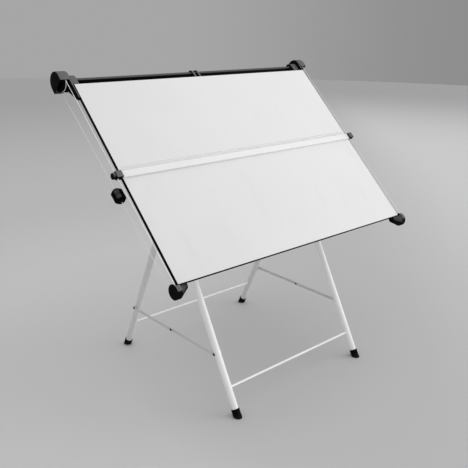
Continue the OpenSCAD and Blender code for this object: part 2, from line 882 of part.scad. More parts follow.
module shaft_bearing() {
    start = -bearing_left - bearing_w / 2;
    color(black_plastic) on_board() difference() {
        union() {
            side_plate(start, bearing_w) base_outline(panel_h - bearing_base, panel_h);
            for (x = [start, start + bearing_w - ring_w])
                side_plate(x, ring_w) arm_outline(shaft_d / 2 + ring_wall);
        }
        translate([0, shaft_s, shaft_n]) x_bar(start - 1, bearing_w + 2, shaft_d / 2 + fit);
        shanks(bearing_spots);
    }
}

// The wire: up the face side, one and a half turns round the top pulley, down the
// back side and half a turn round the bottom pulley
top_steps = 54;
low_steps = 18;

function top_ring(a) = [top_wire_x - wrap_step * (a + upper_angle) / 360,
    shaft_s + top_r * sin(a), shaft_n + top_r * cos(a)];
function low_ring(a) = [wire_x, axle_s - bottom_r * sin(a), axle_n - bottom_r * cos(a)];

top_turns = [for (k = [0:top_steps]) top_ring(k / top_steps * top_turn - upper_angle)];
low_turns = [for (k = [0:low_steps])
    low_ring(k / low_steps * (180 - upper_angle + return_angle) - return_angle)];
wire_path = concat(top_turns, low_turns);

// Least gap of the wire to itself, between points more than a quarter turn apart
quarter = top_steps / 6;
function to_run(p, a, b) = let (d = b - a, t = (p - a) * d / (d * d)) norm(p - a - t * d);
turn_gaps = [for (i = [0:top_steps], j = [0:top_steps]) if (j > i + quarter)
    norm(top_turns[i] - top_turns[j])];
upper_gaps = [for (i = [quarter:top_steps])
    to_run(top_turns[i], low_turns[low_steps], top_turns[0])];
return_gaps = [for (i = [0:top_steps - quarter])
    to_run(top_turns[i], top_turns[top_steps], low_turns[0])];
echo(least_wire_gap = min(concat(turn_gaps, upper_gaps, return_gaps)) - wire_d);

function unit(v) = v / norm(v);

// One ring of the wire, square to its direction of travel
function wire_ring(k, path) =
    let (n = len(path),
        ahead = unit(path[(k + 1) % n] - path[k]),
        behind = unit(path[k] - path[(k + n - 1) % n]),
        along = unit(ahead + behind),
        across = unit([1, 0, 0] - along[0] * along),
        other = cross(along, across))
    [for (j = [0:7]) path[k] + wire_d / 2 * (cos(45 * j) * across + sin(45 * j) * other)];

module wire() {
    rings = len(wire_path);
    points = [for (k = [0:rings - 1]) each wire_ring(k, wire_path)];
    faces = [for (k = [0:rings - 1], j = [0:7], half = [0, 1])
        let (a = k * 8, b = ((k + 1) % rings) * 8, i = (j + 1) % 8)
        half == 0 ? [a + j, b + j, b + i] : [a + j, b + i, a + i]];
    color("#e4e4e4") on_board() polyhedron(points, faces);
}

shaft_reach = top_drum_x + top_drum_w + 3;

module shaft() {
    color("#303030") on_board() translate([0, shaft_s, shaft_n]) difference() {
        x_bar(-shaft_reach, 2 * shaft_reach, shaft_d / 2);
        x_bar(-shaft_reach - 1, 2 * shaft_reach + 2, shaft_d / 2 - shaft_wall);
    }
}

module top_pulleys() {
    color(black_plastic) both() on_board() translate([0, shaft_s, shaft_n]) difference() {
        union() {
            x_bar(hub_x, top_drum_x - hub_x + 1, hub_r);
            x_bar(top_drum_x, top_drum_w, top_groove_r);
            x_bar(top_drum_x, flange_t, top_flange_r);
            x_bar(top_drum_x + top_drum_w - flange_t, flange_t, top_flange_r);
        }
        x_bar(hub_x - 1, top_drum_x + top_drum_w - hub_x + 2, shaft_d / 2);
    }
}

module bottom_pulley() {
    color(black_plastic) on_board() translate([0, axle_s, axle_n]) difference() {
        union() {
            x_bar(hub_x, bottom_wheel_x - hub_x + 1, axle_d);
            x_bar(bottom_wheel_x, bottom_wheel_w, bottom_groove_r);
            x_bar(bottom_wheel_x, rim_t, bottom_flange_r);
            x_bar(bottom_wheel_x + bottom_wheel_w - rim_t, rim_t, bottom_flange_r);
        }
        x_bar(hub_x - 1, bottom_wheel_x + bottom_wheel_w - hub_x + 2, axle_d / 2 + fit);
    }
}

// The ruler: a hollow white beam, a clear strip and two end blocks on the wires
beam_end = edge_x + 2 * gap;

module beam_outline() {
    difference() {
        translate([0, 0]) square([beam_w, beam_h]);
        translate([beam_w - strip_seat, 0]) square([strip_seat, strip_t]);
        translate([beam_wall, beam_wall])
            square([beam_w - strip_seat - 2 * beam_wall, beam_h - 2 * beam_wall]);
    }
}

module ruler_beam() {
    color("#f4f4f4") on_board() side_plate(-beam_end, 2 * beam_end)
        translate([ruler_s, beam_n]) beam_outline();
}

module ruler_strip() {
    half = edge_x - strip_in;
    color("#dfe6e8", 0.45) on_board()
        translate([-half, ruler_s + beam_w - strip_seat, beam_n])
        cube([2 * half, strip_seat + strip_w, strip_t]);
}

brake_s = ruler_s + beam_w / 2;
block_s = ruler_s + beam_w / 2 - block_l / 2;
block_face = beam_end + block_w;
channel_in = wire_x - wire_way_r;
channel_out = top_wire_x + wire_way_r;
channel_up = axle_n + bottom_r + wire_way_r;

// The channel of a block is as wide as the wire slants along the whole travel
module ruler_block(brake) {
    color(black_plastic) on_board() difference() {
        translate([beam_end, block_s, -block_down]) cube([block_w, block_l, block_down + block_up]);
        translate([channel_in, block_s - 1, -block_down - 1])
            cube([channel_out - channel_in, block_l + 2, channel_up + block_down + 1]);
        if (brake) translate([0, brake_s, brake_up])
            x_bar(channel_out - 1, block_face - channel_out + 2, brake_stem_d / 2 + fit);
    }
}

module brake_knob() {
    face = block_face + gap;
    color(black_plastic) left() on_board() translate([0, brake_s, brake_up]) {
        x_bar(channel_out, face - channel_out + 1, brake_stem_d / 2);
        x_bar(face, brake_neck_t + 1, brake_neck_d / 2);
        x_bar(face + brake_neck_t, brake_t - brake_neck_t, brake_d / 2);
    }
}

// Counterweights lie round the return run of the wire
module on_return() {
    on_board() translate([wire_x, axle_s, axle_n]) rotate([return_angle, 0, 0])
        translate([0, (weight_s - axle_s) / cos(return_angle), -bottom_r])
        rotate([-90, 0, 0]) children();
}

core_r = weight_d / 2 - jacket;
core_len = weight_len - 2 * jacket;

module barrel(r, length, cut) {
    rotate_extrude($fn = 64) polygon([[0, -length / 2], [r - cut, -length / 2],
        [r, -length / 2 + cut], [r, length / 2 - cut], [r - cut, length / 2], [0, length / 2]]);
}

module wire_way() {
    cylinder(h = weight_len + 2, r = wire_way_r, center = true);
}

module weight() {
    color(black_plastic) on_return() difference() {
        barrel(weight_d / 2, weight_len, weight_cut);
        cylinder(h = core_len, r = core_r, center = true);
        wire_way();
    }
}

module weight_core() {
    color(steel) on_return() difference() {
        cylinder(h = core_len, r = core_r, center = true);
        wire_way();
    }
}

left() rear_post();  // rear_post_left
rear_post();  // rear_post_right
rear_cross_rod();
rear_cross_tube();
left() rear_foot();  // rear_foot_left
rear_foot();  // rear_foot_right
post_plugs();
left() fold_bracket();  // fold_bracket_left
fold_bracket();  // fold_bracket_right
fold_pins();
rear_frame_bolts();
tilt_bolts();
clamp_studs();
left() front_leg();  // front_leg_left
front_leg();  // front_leg_right
front_cross_rod();
front_cross_tube();
left() front_foot();  // front_foot_left
front_foot();  // front_foot_right
front_leg_plugs();
front_stay_bolts();
left() tilt_knob();  // tilt_knob_left
tilt_knob();  // tilt_knob_right
left() rear_stay();  // rear_stay_left
rear_stay();  // rear_stay_right
left() front_stay();  // front_stay_left
front_stay();  // front_stay_right
board_panel();
edge_bands();
left() rail();  // rail_left
rail();  // rail_right
inner_tilt_plates();
left() quadrant();  // quadrant_left
quadrant();  // quadrant_right
board_screws();
left() top_bracket();  // top_bracket_left
top_bracket();  // top_bracket_right
left() bottom_bracket();  // bottom_bracket_left
bottom_bracket();  // bottom_bracket_right
left() top_cover();  // top_cover_left
top_cover();  // top_cover_right
left() bottom_cover();  // bottom_cover_left
bottom_cover();  // bottom_cover_right
bottom_axles();
shaft_bearing();
left() wire();  // wire_left
wire();  // wire_right
shaft();
top_pulleys();
left() bottom_pulley();  // bottom_pulley_left
bottom_pulley();  // bottom_pulley_right
ruler_beam();
ruler_strip();
left() ruler_block(true);  // ruler_block_left
ruler_block(false);  // ruler_block_right
brake_knob();
left() weight();  // weight_left
weight();  // weight_right
left() weight_core();  // weight_core_left
weight_core();  // weight_core_right
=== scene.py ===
import bmesh
import bpy
import math
import numpy as np
from mathutils import Matrix


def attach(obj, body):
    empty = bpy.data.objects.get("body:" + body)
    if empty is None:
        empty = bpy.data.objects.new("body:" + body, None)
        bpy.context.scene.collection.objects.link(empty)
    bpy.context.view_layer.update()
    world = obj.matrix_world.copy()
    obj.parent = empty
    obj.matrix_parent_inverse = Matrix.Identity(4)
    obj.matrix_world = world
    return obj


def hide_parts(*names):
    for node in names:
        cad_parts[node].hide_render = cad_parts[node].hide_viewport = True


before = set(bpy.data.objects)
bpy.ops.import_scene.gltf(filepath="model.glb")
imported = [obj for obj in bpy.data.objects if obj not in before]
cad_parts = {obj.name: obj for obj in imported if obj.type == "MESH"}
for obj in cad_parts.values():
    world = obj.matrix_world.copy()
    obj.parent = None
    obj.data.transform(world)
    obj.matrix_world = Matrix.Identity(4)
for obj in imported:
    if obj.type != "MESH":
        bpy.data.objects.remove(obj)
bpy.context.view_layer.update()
print("frame loaded")

view = {"at": (-1.83822, -1.98625, 1.49588), "heading": 42.016, "dip": 18.764, "roll": 0.894,
        "lens": 49.484, "sensor": 36}


def addCamera():
    seen = bpy.data.cameras.new("Camera")
    seen.lens, seen.sensor_width = view["lens"], view["sensor"]
    camera = bpy.data.objects.new("Camera", seen)
    turned = (Matrix.Rotation(math.radians(-view["heading"]), 4, "Z")
              @ Matrix.Rotation(math.radians(90 - view["dip"]), 4, "X")
              @ Matrix.Rotation(math.radians(view["roll"]), 4, "Z"))
    camera.matrix_world = Matrix.Translation(view["at"]) @ turned
    bpy.context.scene.collection.objects.link(camera)
    bpy.context.scene.camera = camera


addCamera()
print("camera set")


def linear(tone):  # a screen tone of 0..255 as a linear value
    part = tone / 255
    return part / 12.92 if part < 0.04045 else ((part + 0.055) / 1.055) ** 2.4


def grey(tone, warm=0.0):  # a grey as a colour, a little warmer or cooler
    return (linear(tone * (1 + warm)), linear(tone), linear(tone * (1 - warm)), 1)


class Tap:  # wraps one output socket, so that sums on it become Math nodes
    def __init__(self, tree, socket):
        self.tree, self.socket = tree, socket

    def maths(self, operation, first, second):
        return self.tree.node("ShaderNodeMath", {"operation": operation}, {0: first, 1: second})

    def __add__(self, other): return self.maths("ADD", self, other)
    def __radd__(self, other): return self.maths("ADD", other, self)
    def __sub__(self, other): return self.maths("SUBTRACT", self, other)
    def __rsub__(self, other): return self.maths("SUBTRACT", other, self)
    def __mul__(self, other): return self.maths("MULTIPLY", self, other)


class Tree:  # one node tree, whose nodes give taps
    def __init__(self, tree):
        self.tree = tree

    def node(self, kind, settings=None, values=None, result=0):
        made = self.tree.nodes.new(kind)
        for key, value in (settings or {}).items():
            setattr(made, key, value)
        for socket, value in (values or {}).items():
            if isinstance(value, Tap):
                self.tree.links.new(value.socket, made.inputs[socket])
            else:
                made.inputs[socket].default_value = value
        return Tap(self, made.outputs[result]) if len(made.outputs) else None

    def dot(self, vector, way):
        return self.node("ShaderNodeVectorMath", {"operation": "DOT_PRODUCT"}, {0: vector, 1: way}, "Value")

    def axis(self, vector, letter):
        return self.node("ShaderNodeSeparateXYZ", {}, {0: vector}, letter)

    def fade(self, value, low, high):  # 0 below low, 1 above high
        return self.node("ShaderNodeMapRange", {"interpolation_type": "SMOOTHSTEP"},
                         {"Value": value, "From Min": low, "From Max": high})

    def mix(self, factor, first, second):  # of taps, colours or the tones of greys
        first, second = (grey(c) if isinstance(c, (int, float)) else c for c in (first, second))
        return self.node("ShaderNodeMix", {"data_type": "RGBA"}, {0: factor, 6: first, 7: second}, 2)


class Finish(Tree):  # one material, with a Principled shader that its taps feed
    def __init__(self, name, **fixed):
        self.material = bpy.data.materials.new(name)
        self.material.use_nodes = True
        super().__init__(self.material.node_tree)
        self.shader = self.tree.nodes["Principled BSDF"]
        for socket, value in fixed.items():
            self.shader.inputs[socket.replace("_", " ")].default_value = value
        self.place = self.node("ShaderNodeTexCoord", result="Object")

    def noise(self, scale, detail, stretch=None):  # soft noise about 0.5, scale per metre
        spot = self.place
        if stretch:
            spot = self.node("ShaderNodeMapping", {}, {"Vector": spot, "Scale": stretch})
        return self.node("ShaderNodeTexNoise", {}, {"Vector": spot, "Scale": scale, "Detail": detail}, "Fac")

    def bump(self, height, depth):  # depth in metres
        return self.node("ShaderNodeBump", {}, {"Height": height, "Distance": depth})

    def feed(self, **taps):
        for socket, tap in taps.items():
            self.tree.links.new(tap.socket, self.shader.inputs[socket.replace("_", " ")])
        return self


def whitePaint(name="WhitePaint", light=244, dull=237, scuffed=170):
    made = Finish(name, Coat_Weight=0.15, Coat_Roughness=0.15)
    scuff = made.fade(made.noise(160, 4, (1, 1, 0.25)), 0.71, 0.78)
    colour = made.mix(made.noise(9, 3), dull, light)
    peel = made.noise(700, 2) + made.noise(90, 2) * 1.5
    return made.feed(Base_Color=made.mix(scuff * 0.5, colour, scuffed),
                     Roughness=0.3 + made.noise(40, 3) * 0.16 + scuff * 0.2,
                     Normal=made.bump(peel, 0.00012))


def laminate():
    look = {"light": 224, "dull": 222, "rubbed": 218, "fleck": 1500}
    made = Finish("BoardLaminate", Specular_IOR_Level=0.03)
    cloud, fleck = made.noise(3.2, 4), made.noise(look["fleck"], 2)
    rubbed = made.fade(made.noise(14, 5, (1, 0.35, 0.35)), 0.56, 0.72)
    colour = made.mix(made.fade(cloud, 0.3, 0.7), look["dull"], look["light"])
    return made.feed(Base_Color=made.mix(rubbed * 0.5 + fleck * 0.12, colour, look["rubbed"]),
                     Roughness=0.48 + cloud * 0.12 - rubbed * 0.12,
                     Normal=made.bump(fleck, 0.000012))


sheenFacing = {"way": (0, -0.574, 0.819), "low": 0.8, "high": 0.92}


# Painted sheen, a highlight painted into the colour on what looks up while the board is tilted: 1 where the
# surface normal leans that way.
def paintedSheen(made, lean=sheenFacing):
    normal = made.node("ShaderNodeTexCoord", result="Normal")
    return made.fade(made.dot(normal, lean["way"]), lean["low"], lean["high"])


def grainedPlastic(name="GrainedPlastic", tone=14, worn=28, up=104, lean=sheenFacing,
                   grain=1100, depth=0.00012, shine=0.4):
    made = Finish(name, Specular_IOR_Level=0.015)
    dust = made.fade(made.noise(22, 5), 0.5, 0.75)
    cells = made.node("ShaderNodeTexVoronoi", {"feature": "SMOOTH_F1"},
                      {"Vector": made.place, "Scale": grain}, "Distance")
    fine = made.noise(grain * 1.7, 2)
    colour = made.mix(dust * 0.35 + fine * 0.12, tone, worn)
    # The up tone on faces that lean the given way is painted sheen, a highlight painted into the colour; dust
    # and fine grain are real.
    return made.feed(Base_Color=made.mix(paintedSheen(made, lean) * (0.8 + fine * 0.3), colour, up),
                     Roughness=shine + dust * 0.14 + fine * 0.08,
                     Normal=made.bump(cells + fine * 0.4, depth))


def blackPaint():
    look = {"tone": 8, "up": 88, "chip": 60}
    made = Finish("BlackPaint", Specular_IOR_Level=0.03)
    chip = made.fade(made.noise(260, 5), 0.72, 0.76)
    cloud = made.noise(30, 3)
    # The up tone on the faces that look up is painted sheen, a highlight painted into the colour; the chips
    # are wear.
    colour = made.mix(paintedSheen(made) * (0.85 + cloud * 0.2), look["tone"], look["up"])
    return made.feed(Base_Color=made.mix(chip * 0.6, colour, look["chip"]),
                     Roughness=0.24 + cloud * 0.16 + chip * 0.25,
                     Normal=made.bump(made.noise(650, 2), 0.00008))


def plated(name, tone, dull, shine):
    made = Finish(name, Metallic=1.0)
    brushed, patch = made.noise(420, 3, (1, 0.06, 0.06)), made.noise(45, 4)
    return made.feed(Base_Color=made.mix(made.fade(patch, 0.35, 0.7), grey(tone, 0.006), grey(dull, -0.006)),
                     Roughness=shine + brushed * 0.16 + patch * 0.1,
                     Normal=made.bump(brushed, 0.00004))


def castIron():
    made = Finish("CastIron", Metallic=1.0)
    rough = made.noise(500, 4)
    return made.feed(Base_Color=made.mix(rough, 92, grey(126, 0.02)),
                     Roughness=0.45 + rough * 0.25, Normal=made.bump(rough, 0.0003))


def rubber():
    look = {"tone": 11, "dust": 48, "low": 0.001, "high": 0.02}
    made = Finish("FootRubber", Specular_IOR_Level=0.03)
    dust = made.fade(made.noise(60, 4), 0.45, 0.8)
    low = 1 - made.fade(made.axis(made.place, "Z"), look["low"], look["high"])
    return made.feed(Base_Color=made.mix(dust * 0.3 + low * 0.25, look["tone"], look["dust"]),
                     Roughness=0.62 + dust * 0.2, Normal=made.bump(made.noise(1600, 2), 0.00018))


def wireCoat():  # strands follow the piece's own UV: u along the wire in metres, v around it
    look = {"tone": 240, "groove": 220, "strands": 7, "lay": 0.011, "paintedGlow": 0.12}
    # The coat glows a little: painted light that keeps the thin wire bright even in the board's shade.
    made = Finish("WireCoat", Roughness=0.34, Emission_Color=grey(250), Emission_Strength=look["paintedGlow"])
    laid = made.node("ShaderNodeUVMap", {"uv_map": "laid"})
    turns = made.axis(laid, "Y") + made.axis(laid, "X") * (1 / look["lay"])
    wave = made.node("ShaderNodeMath", {"operation": "SINE"}, {0: turns * (2 * math.pi * look["strands"])})
    strand = wave * 0.5 + 0.5
    return made.feed(Base_Color=made.mix(strand, look["groove"], look["tone"]),
                     Normal=made.bump(strand, 0.0002))


def rulerWhite():
    look = {"light": 234, "dull": 228, "line": 205, "paintedGlow": 0.03}
    # A faint glow: painted light that keeps the beam's shaded lower face bright.
    made = Finish("RulerWhite", Specular_IOR_Level=0.2, Emission_Color=grey(245),
                  Emission_Strength=look["paintedGlow"])
    drawn, cloud = made.noise(900, 2, (0.01, 1, 1)), made.noise(6, 3)
    colour = made.mix(cloud, look["dull"], look["light"])
    return made.feed(Base_Color=made.mix(drawn * 0.3, colour, look["line"]),
                     Roughness=0.28 + cloud * 0.14, Normal=made.bump(drawn, 0.00004))


def rulerClear():
    look = {"tone": 236, "scratch": 180, "alpha": 0.1, "haze": 0.05, "rim": 0.25}
    made = Finish("RulerClear", IOR=1.49)
    scratch = made.fade(made.noise(700, 3, (0.05, 1, 1)), 0.6, 0.75)
    rim = made.node("ShaderNodeLayerWeight", {}, {"Blend": 0.35}, "Facing")
    return made.feed(Base_Color=made.mix(scratch, look["tone"], look["scratch"]),
                     Alpha=look["alpha"] + scratch * look["haze"] + rim * look["rim"],
                     Roughness=0.3 + scratch * 0.2)


finishes = {"painted_tube": whitePaint(), "board_laminate": laminate(), "black_plastic": grainedPlastic(),
            "band_plastic": grainedPlastic("BandPlastic", 7, 16, 24, grain=700, depth=0.0001, shine=0.42),
            "black_plate": blackPaint(), "plate_steel": plated("PlateZinc", 176, 150, 0.3),
            "bolt_steel": plated("BoltZinc", 190, 168, 0.22), "core_iron": castIron(),
            "foot_rubber": rubber(), "wire_steel": wireCoat(), "ruler_white": rulerWhite(),
            "ruler_clear": rulerClear()}
# Copies of the black plastic whose painted sheen leans other ways: highlights painted onto the weights and
# the bottom brackets.
weightSheenPlastic = grainedPlastic("WeightSheenPlastic", 8, 20, 72, {"way": (-0.5, -0.58, 0.64), "low": 0.86, "high": 0.97})
lowSheenPlastic = grainedPlastic("LowSheenPlastic", 12, 26, 78, {"way": (-0.2, -0.85, 0.49), "low": 0.6, "high": 1.0})
# Darker copies of the white paint: painted shade for the stays and the rear posts, which lie in the board's
# shade.
shadedStayPaint = whitePaint("ShadedStayPaint", 208, 198, 150)
shadedPostPaint = whitePaint("ShadedPostPaint", 222, 214, 160)
print("finishes made")

stand = {"span": 0.788, "legX": 0.369, "legR": 0.014, "wall": 0.0015, "frontLean": 28.75, "rearLean": 23.93,
         "post": 0.99, "foldOffset": 0.034, "sole": 0.014}
board = {"width": 1.27, "height": 0.88, "thick": 0.014, "band": 0.0012, "tilt": 43.8, "tiltAlong": 0.452,
         "tiltDrop": 0.056, "gap": 0.0005}
drive = {"wireOut": 0.0144, "wireR": 0.0011, "topR": 0.036, "lowR": 0.0195, "shaftOut": 0.049,
         "shaftDrop": 0.0425, "axleOut": 0.0175, "axleDrop": 0.0165, "step": 0.0046, "side": 0.0022,
         "flangeUp": 0.002, "flange": 0.0025, "rim": 0.00125, "wireGap": 0.0003, "shaftR": 0.011,
         "shaftWall": 0.002, "shaftOver": 0.003, "hubWall": 0.0045, "lowBoreR": 0.0041, "lowHubR": 0.008}
legX, legR, rearLean, frontLean = (stand[key] for key in ("legX", "legR", "rearLean", "frontLean"))
halfSpan, gap = 0.5 * stand["span"], board["gap"]


def sinD(degrees): return math.sin(math.radians(degrees))
def cosD(degrees): return math.cos(math.radians(degrees))
def tanD(degrees): return math.tan(math.radians(degrees))


def turnX(degrees):  # the matrix of a turn about X
    c, s = cosD(degrees), sinD(degrees)
    return np.array([[1, 0, 0], [0, c, -s], [0, s, c]])


meetZ = stand["span"] / (tanD(frontLean) + tanD(rearLean))
frontLen = meetZ / cosD(frontLean) - stand["foldOffset"] / sinD(frontLean + rearLean)
foldY = -halfSpan + frontLen * sinD(frontLean)
foldAt = (halfSpan - foldY) * sinD(rearLean) + frontLen * cosD(frontLean) * cosD(rearLean)
tiltY = halfSpan - stand["post"] * sinD(rearLean)
tiltZ = stand["post"] * cosD(rearLean)
edgeX = board["width"] / 2 + board["band"]
wireX = edgeX + drive["wireOut"]
shaftAt = shaftS, shaftN = board["height"] + drive["shaftOut"], -drive["shaftDrop"]
axleAt = axleS, axleN = -drive["axleOut"], -drive["axleDrop"]
runS, runN = shaftS - axleS, shaftN - axleN
runSlope = math.degrees(math.atan2(runN, runS))
runSpread = math.degrees(math.asin((drive["topR"] - drive["lowR"]) / math.hypot(runS, runN)))
upperAngle, returnAngle = runSlope + runSpread, runSlope - runSpread
topTurn = 540 - returnAngle + upperAngle
topWireX = wireX + drive["step"] * topTurn / 360


# Places: x across, then up along the leg or the board, then out of its face.
def onRear(p): return p @ turnX(rearLean).T + [0, halfSpan, 0]
def onFront(p): return p @ turnX(-frontLean).T + [0, -halfSpan, 0]
def asIs(p): return p


def onBoard(p):
    return (p + [0, -board["tiltAlong"], board["tiltDrop"]]) @ turnX(board["tilt"]).T + [0, tiltY, tiltZ]


def around(count): return np.linspace(0, 2 * math.pi, count, endpoint=False)  # equal steps of a turn


def polar(centre, radius, angle):  # the points at those angles and radii from a centre
    return np.asarray(centre) + np.stack([radius * np.cos(angle), radius * np.sin(angle)], -1)


# A shell is (points, faces). A lattice of rows x columns closes round its columns; its rows end in flat
# caps, or join up again where looped.
def lattice(points, looped=False, turned=asIs):
    rows, cols = points.shape[:2]
    ring = np.arange(cols)
    row = np.arange(rows if looped else rows - 1)[:, None]
    ahead = (row + 1) % rows
    quads = np.stack([row * cols + ring, row * cols + (ring + 1) % cols,
                      ahead * cols + (ring + 1) % cols, ahead * cols + ring], -1).reshape(-1, 4).tolist()
    caps = [] if looped else [ring[::-1].tolist(), (ring + (rows - 1) * cols).tolist()]
    return turned(points.reshape(-1, 3)), quads + caps


# Each corner of a line becomes a quadratic curve between the points that lie ease before and after it.
def eased(points, ease, steps=4, closed=True):
    points = np.asarray(points, float)
    before, after = np.roll(points, 1, 0), np.roll(points, -1, 0)
    if not closed:
        before[0], after[-1] = points[0], points[-1]
    ease = np.broadcast_to(np.asarray(ease, float), (len(points),))[:, None]

    def towards(other):
        away = other - points
        length = np.maximum(np.linalg.norm(away, axis=1, keepdims=True), 1e-9)
        return points + away / length * np.minimum(ease, length * 0.49)
    t = np.linspace(0, 1, steps)[None, :, None]
    curve = ((1 - t) ** 2 * towards(before)[:, None] + 2 * t * (1 - t) * points[:, None]
             + t ** 2 * towards(after)[:, None])
    return curve.reshape(-1, points.shape[1])


# Turns a profile of (along, radius) about the X or Z line through centre: the angle runs round the columns,
# and shape(angle, radius) may change the radius.
def lathe(profile, centre=(0, 0, 0), axis="x", count=48, shape=None, looped=False, turned=asIs):
    profile = np.asarray(profile, float)
    angle = around(count)[None, :]
    along, radius = profile[:, :1] + 0 * angle, profile[:, 1:2] + 0 * angle
    if shape:
        radius = shape(angle, radius)
    sine, cosine = radius * np.sin(angle), radius * np.cos(angle)
    out = (along, sine, cosine) if axis == "x" else (cosine, sine, along)
    return lattice(np.stack(out, -1) + np.asarray(centre), looped, turned)


# An outline (s, n) moved inwards along its own normals by each inset.
def inset(outline, amounts):
    ahead, behind = np.roll(outline, -1, 0) - outline, outline - np.roll(outline, 1, 0)
    unit = [v / np.maximum(np.linalg.norm(v, axis=1, keepdims=True), 1e-9) for v in (ahead, behind)]
    normal = np.stack([unit[0][:, 1] + unit[1][:, 1], -unit[0][:, 0] - unit[1][:, 0]], -1)
    normal = normal / np.maximum(np.linalg.norm(normal, axis=1, keepdims=True), 0.6)
    after = np.roll(outline, -1, 0)
    if np.sum(outline[:, 0] * after[:, 1] - outline[:, 1] * after[:, 0]) < 0:  # it runs clockwise
        normal = -normal
    return outline[None] - normal[None] * np.asarray(amounts)[:, None, None]


# A plate: the outline carried from x0 to x1, with each rim a quarter round of the given ease.
def plate(outline, x0, x1, ease=0.0008, steps=4, turned=asIs):
    phi = np.linspace(0, math.pi / 2, steps)
    amounts = np.concatenate([ease * (1 - np.sin(phi)), ease * (1 - np.sin(phi[::-1]))])
    height = np.concatenate([x0 + ease * (1 - np.cos(phi)), x1 - ease * (1 - np.cos(phi[::-1]))])
    flat = inset(np.asarray(outline, float), amounts)
    height = np.broadcast_to(height[:, None, None], flat.shape[:2] + (1,))
    return lattice(np.concatenate([height, flat], -1), False, turned)


def boxOf(s0, s1, n0, n1, ease, steps=3): return eased([(s0, n0), (s1, n0), (s1, n1), (s0, n1)], ease, steps)


# The band round two circles: for each direction, the point of the circle that reaches furthest that way.
def linkOf(first, firstR, second, secondR):
    way = polar((0, 0), 1, around(96))
    first, second = np.asarray(first), np.asarray(second)
    far = way @ first + firstR > way @ second + secondR
    return np.where(far[:, None], first + firstR * way, second + secondR * way)


# The outer edge of several outlines that all hold one centre: at each angle, the furthest of them.
def unionOf(centre, outlines):
    angle = np.linspace(-math.pi, math.pi, 144, endpoint=False)
    part = np.linspace(0, 1, 24, endpoint=False)[None, :, None]
    reach = 0 * angle
    for outline in outlines:
        away = outline - np.asarray(centre)
        fine = (away[:, None] + (np.roll(away, -1, 0) - away)[:, None] * part).reshape(-1, 2)
        bearing, length = np.arctan2(fine[:, 1], fine[:, 0]), np.linalg.norm(fine, axis=1)
        order = np.argsort(bearing)
        reach = np.maximum(reach, np.interp(angle, bearing[order], length[order], period=2 * math.pi))
    return polar(centre, reach, angle)


def mirrored(shells): return [(points * [-1, 1, 1], faces) for points, faces in shells]
def bothSides(shells): return shells + mirrored(shells)


hands = ((1, "right"), (-1, "left"))
mend = {"weld": 1e-6, "cadWeld": 2e-6, "flat": 1.5, "sharp": 38, "bevel": 36, "capSides": 7}


def smoothed(mesh):  # round surfaces smooth, flat caps and hard edges sharp
    mesh.shade_smooth()
    sides = np.zeros(len(mesh.polygons), np.int32)
    mesh.polygons.foreach_get("loop_total", sides)
    mesh.polygons.foreach_set("use_smooth", sides < mend["capSides"])
    mesh.set_sharp_from_angle(angle=math.radians(mend["sharp"]))


def settle(obj, body, nodes, slot, finish=None):
    bpy.context.scene.collection.objects.link(obj)
    obj.data.materials.clear()
    obj.data.materials.append((finish or finishes[slot]).material)
    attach(obj, body)
    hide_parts(*nodes)
    return obj


def piece(name, shells, body, nodes, slot, finish=None):
    whole = bmesh.new()
    for points, faces in shells:
        part = bpy.data.meshes.new("part")
        part.from_pydata(points.tolist(), [], faces)
        shell = bmesh.new()
        shell.from_mesh(part)
        bmesh.ops.remove_doubles(shell, verts=shell.verts, dist=mend["weld"])
        bmesh.ops.recalc_face_normals(shell, faces=shell.faces)
        shell.to_mesh(part)
        whole.from_mesh(part)
        shell.free()
        bpy.data.meshes.remove(part)
    mesh = bpy.data.meshes.new(name)
    whole.to_mesh(mesh)
    whole.free()
    smoothed(mesh)
    settle(bpy.data.objects.new(name, mesh), body, nodes, slot, finish)


def softened(name, node, body, slot, width, steps=2, finish=None):  # the CAD solid with hard edges rounded
    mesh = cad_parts[node].data.copy()
    shell = bmesh.new()
    shell.from_mesh(mesh)
    bmesh.ops.remove_doubles(shell, verts=shell.verts, dist=mend["cadWeld"])
    bmesh.ops.dissolve_limit(shell, angle_limit=math.radians(mend["flat"]), verts=shell.verts,
                             edges=shell.edges)
    shell.to_mesh(mesh)
    shell.free()
    mesh.name = name
    mesh.shade_smooth()
    obj = settle(bpy.data.objects.new(name, mesh), body, [node], slot, finish)
    rounded = obj.modifiers.new("Rounded", "BEVEL")
    rounded.width, rounded.segments, rounded.limit_method = width, steps, "ANGLE"
    rounded.angle_limit, rounded.harden_normals = math.radians(mend["bevel"]), True
    rounded.use_clamp_overlap = True


# The right piece and its mirror image; a body that ends in _ has one of its own for each hand.
def pair(name, shells, body, node, slot, finish=None):
    for side, hand in hands:
        piece(name + "." + hand, shells if side > 0 else mirrored(shells),
              body + hand if body.endswith("_") else body, [node + "_" + hand], slot, finish)


def softPair(name, node, body, slot, width, steps=2, finish=None):
    for _, hand in hands:
        softened(name + "." + hand, node + "_" + hand, body, slot, width, steps, finish)


def refinish(node, slot):  # a CAD solid that stays, in a better finish
    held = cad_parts[node].data.materials
    held.clear()
    held.append(finishes[slot].material)


# Heads, as shares of their radius or height.
dome = {"collar": 0.45, "crown": 0.62, "deep": 0.45, "floor": 0.4, "soft": 0.25, "rim": 0.0001, "steps": 4}
pan = {"collar": 0.4, "crown": 0.6, "deep": 0.5, "floor": 0.45, "soft": 0.2, "rim": 0, "steps": 3}
socket = {"mouth": 0.42, "foot": 0.4, "flat": 0.36}
hexed = {"cone": 0.75, "crown": 0.86, "flat": 0.87, "soft": 0.1}


def hexagon(angle, flat):  # its radius: half the flats' distance over the cosine from the flat's middle
    return flat / np.cos((angle + math.pi / 6) % (math.pi / 3) - math.pi / 6)


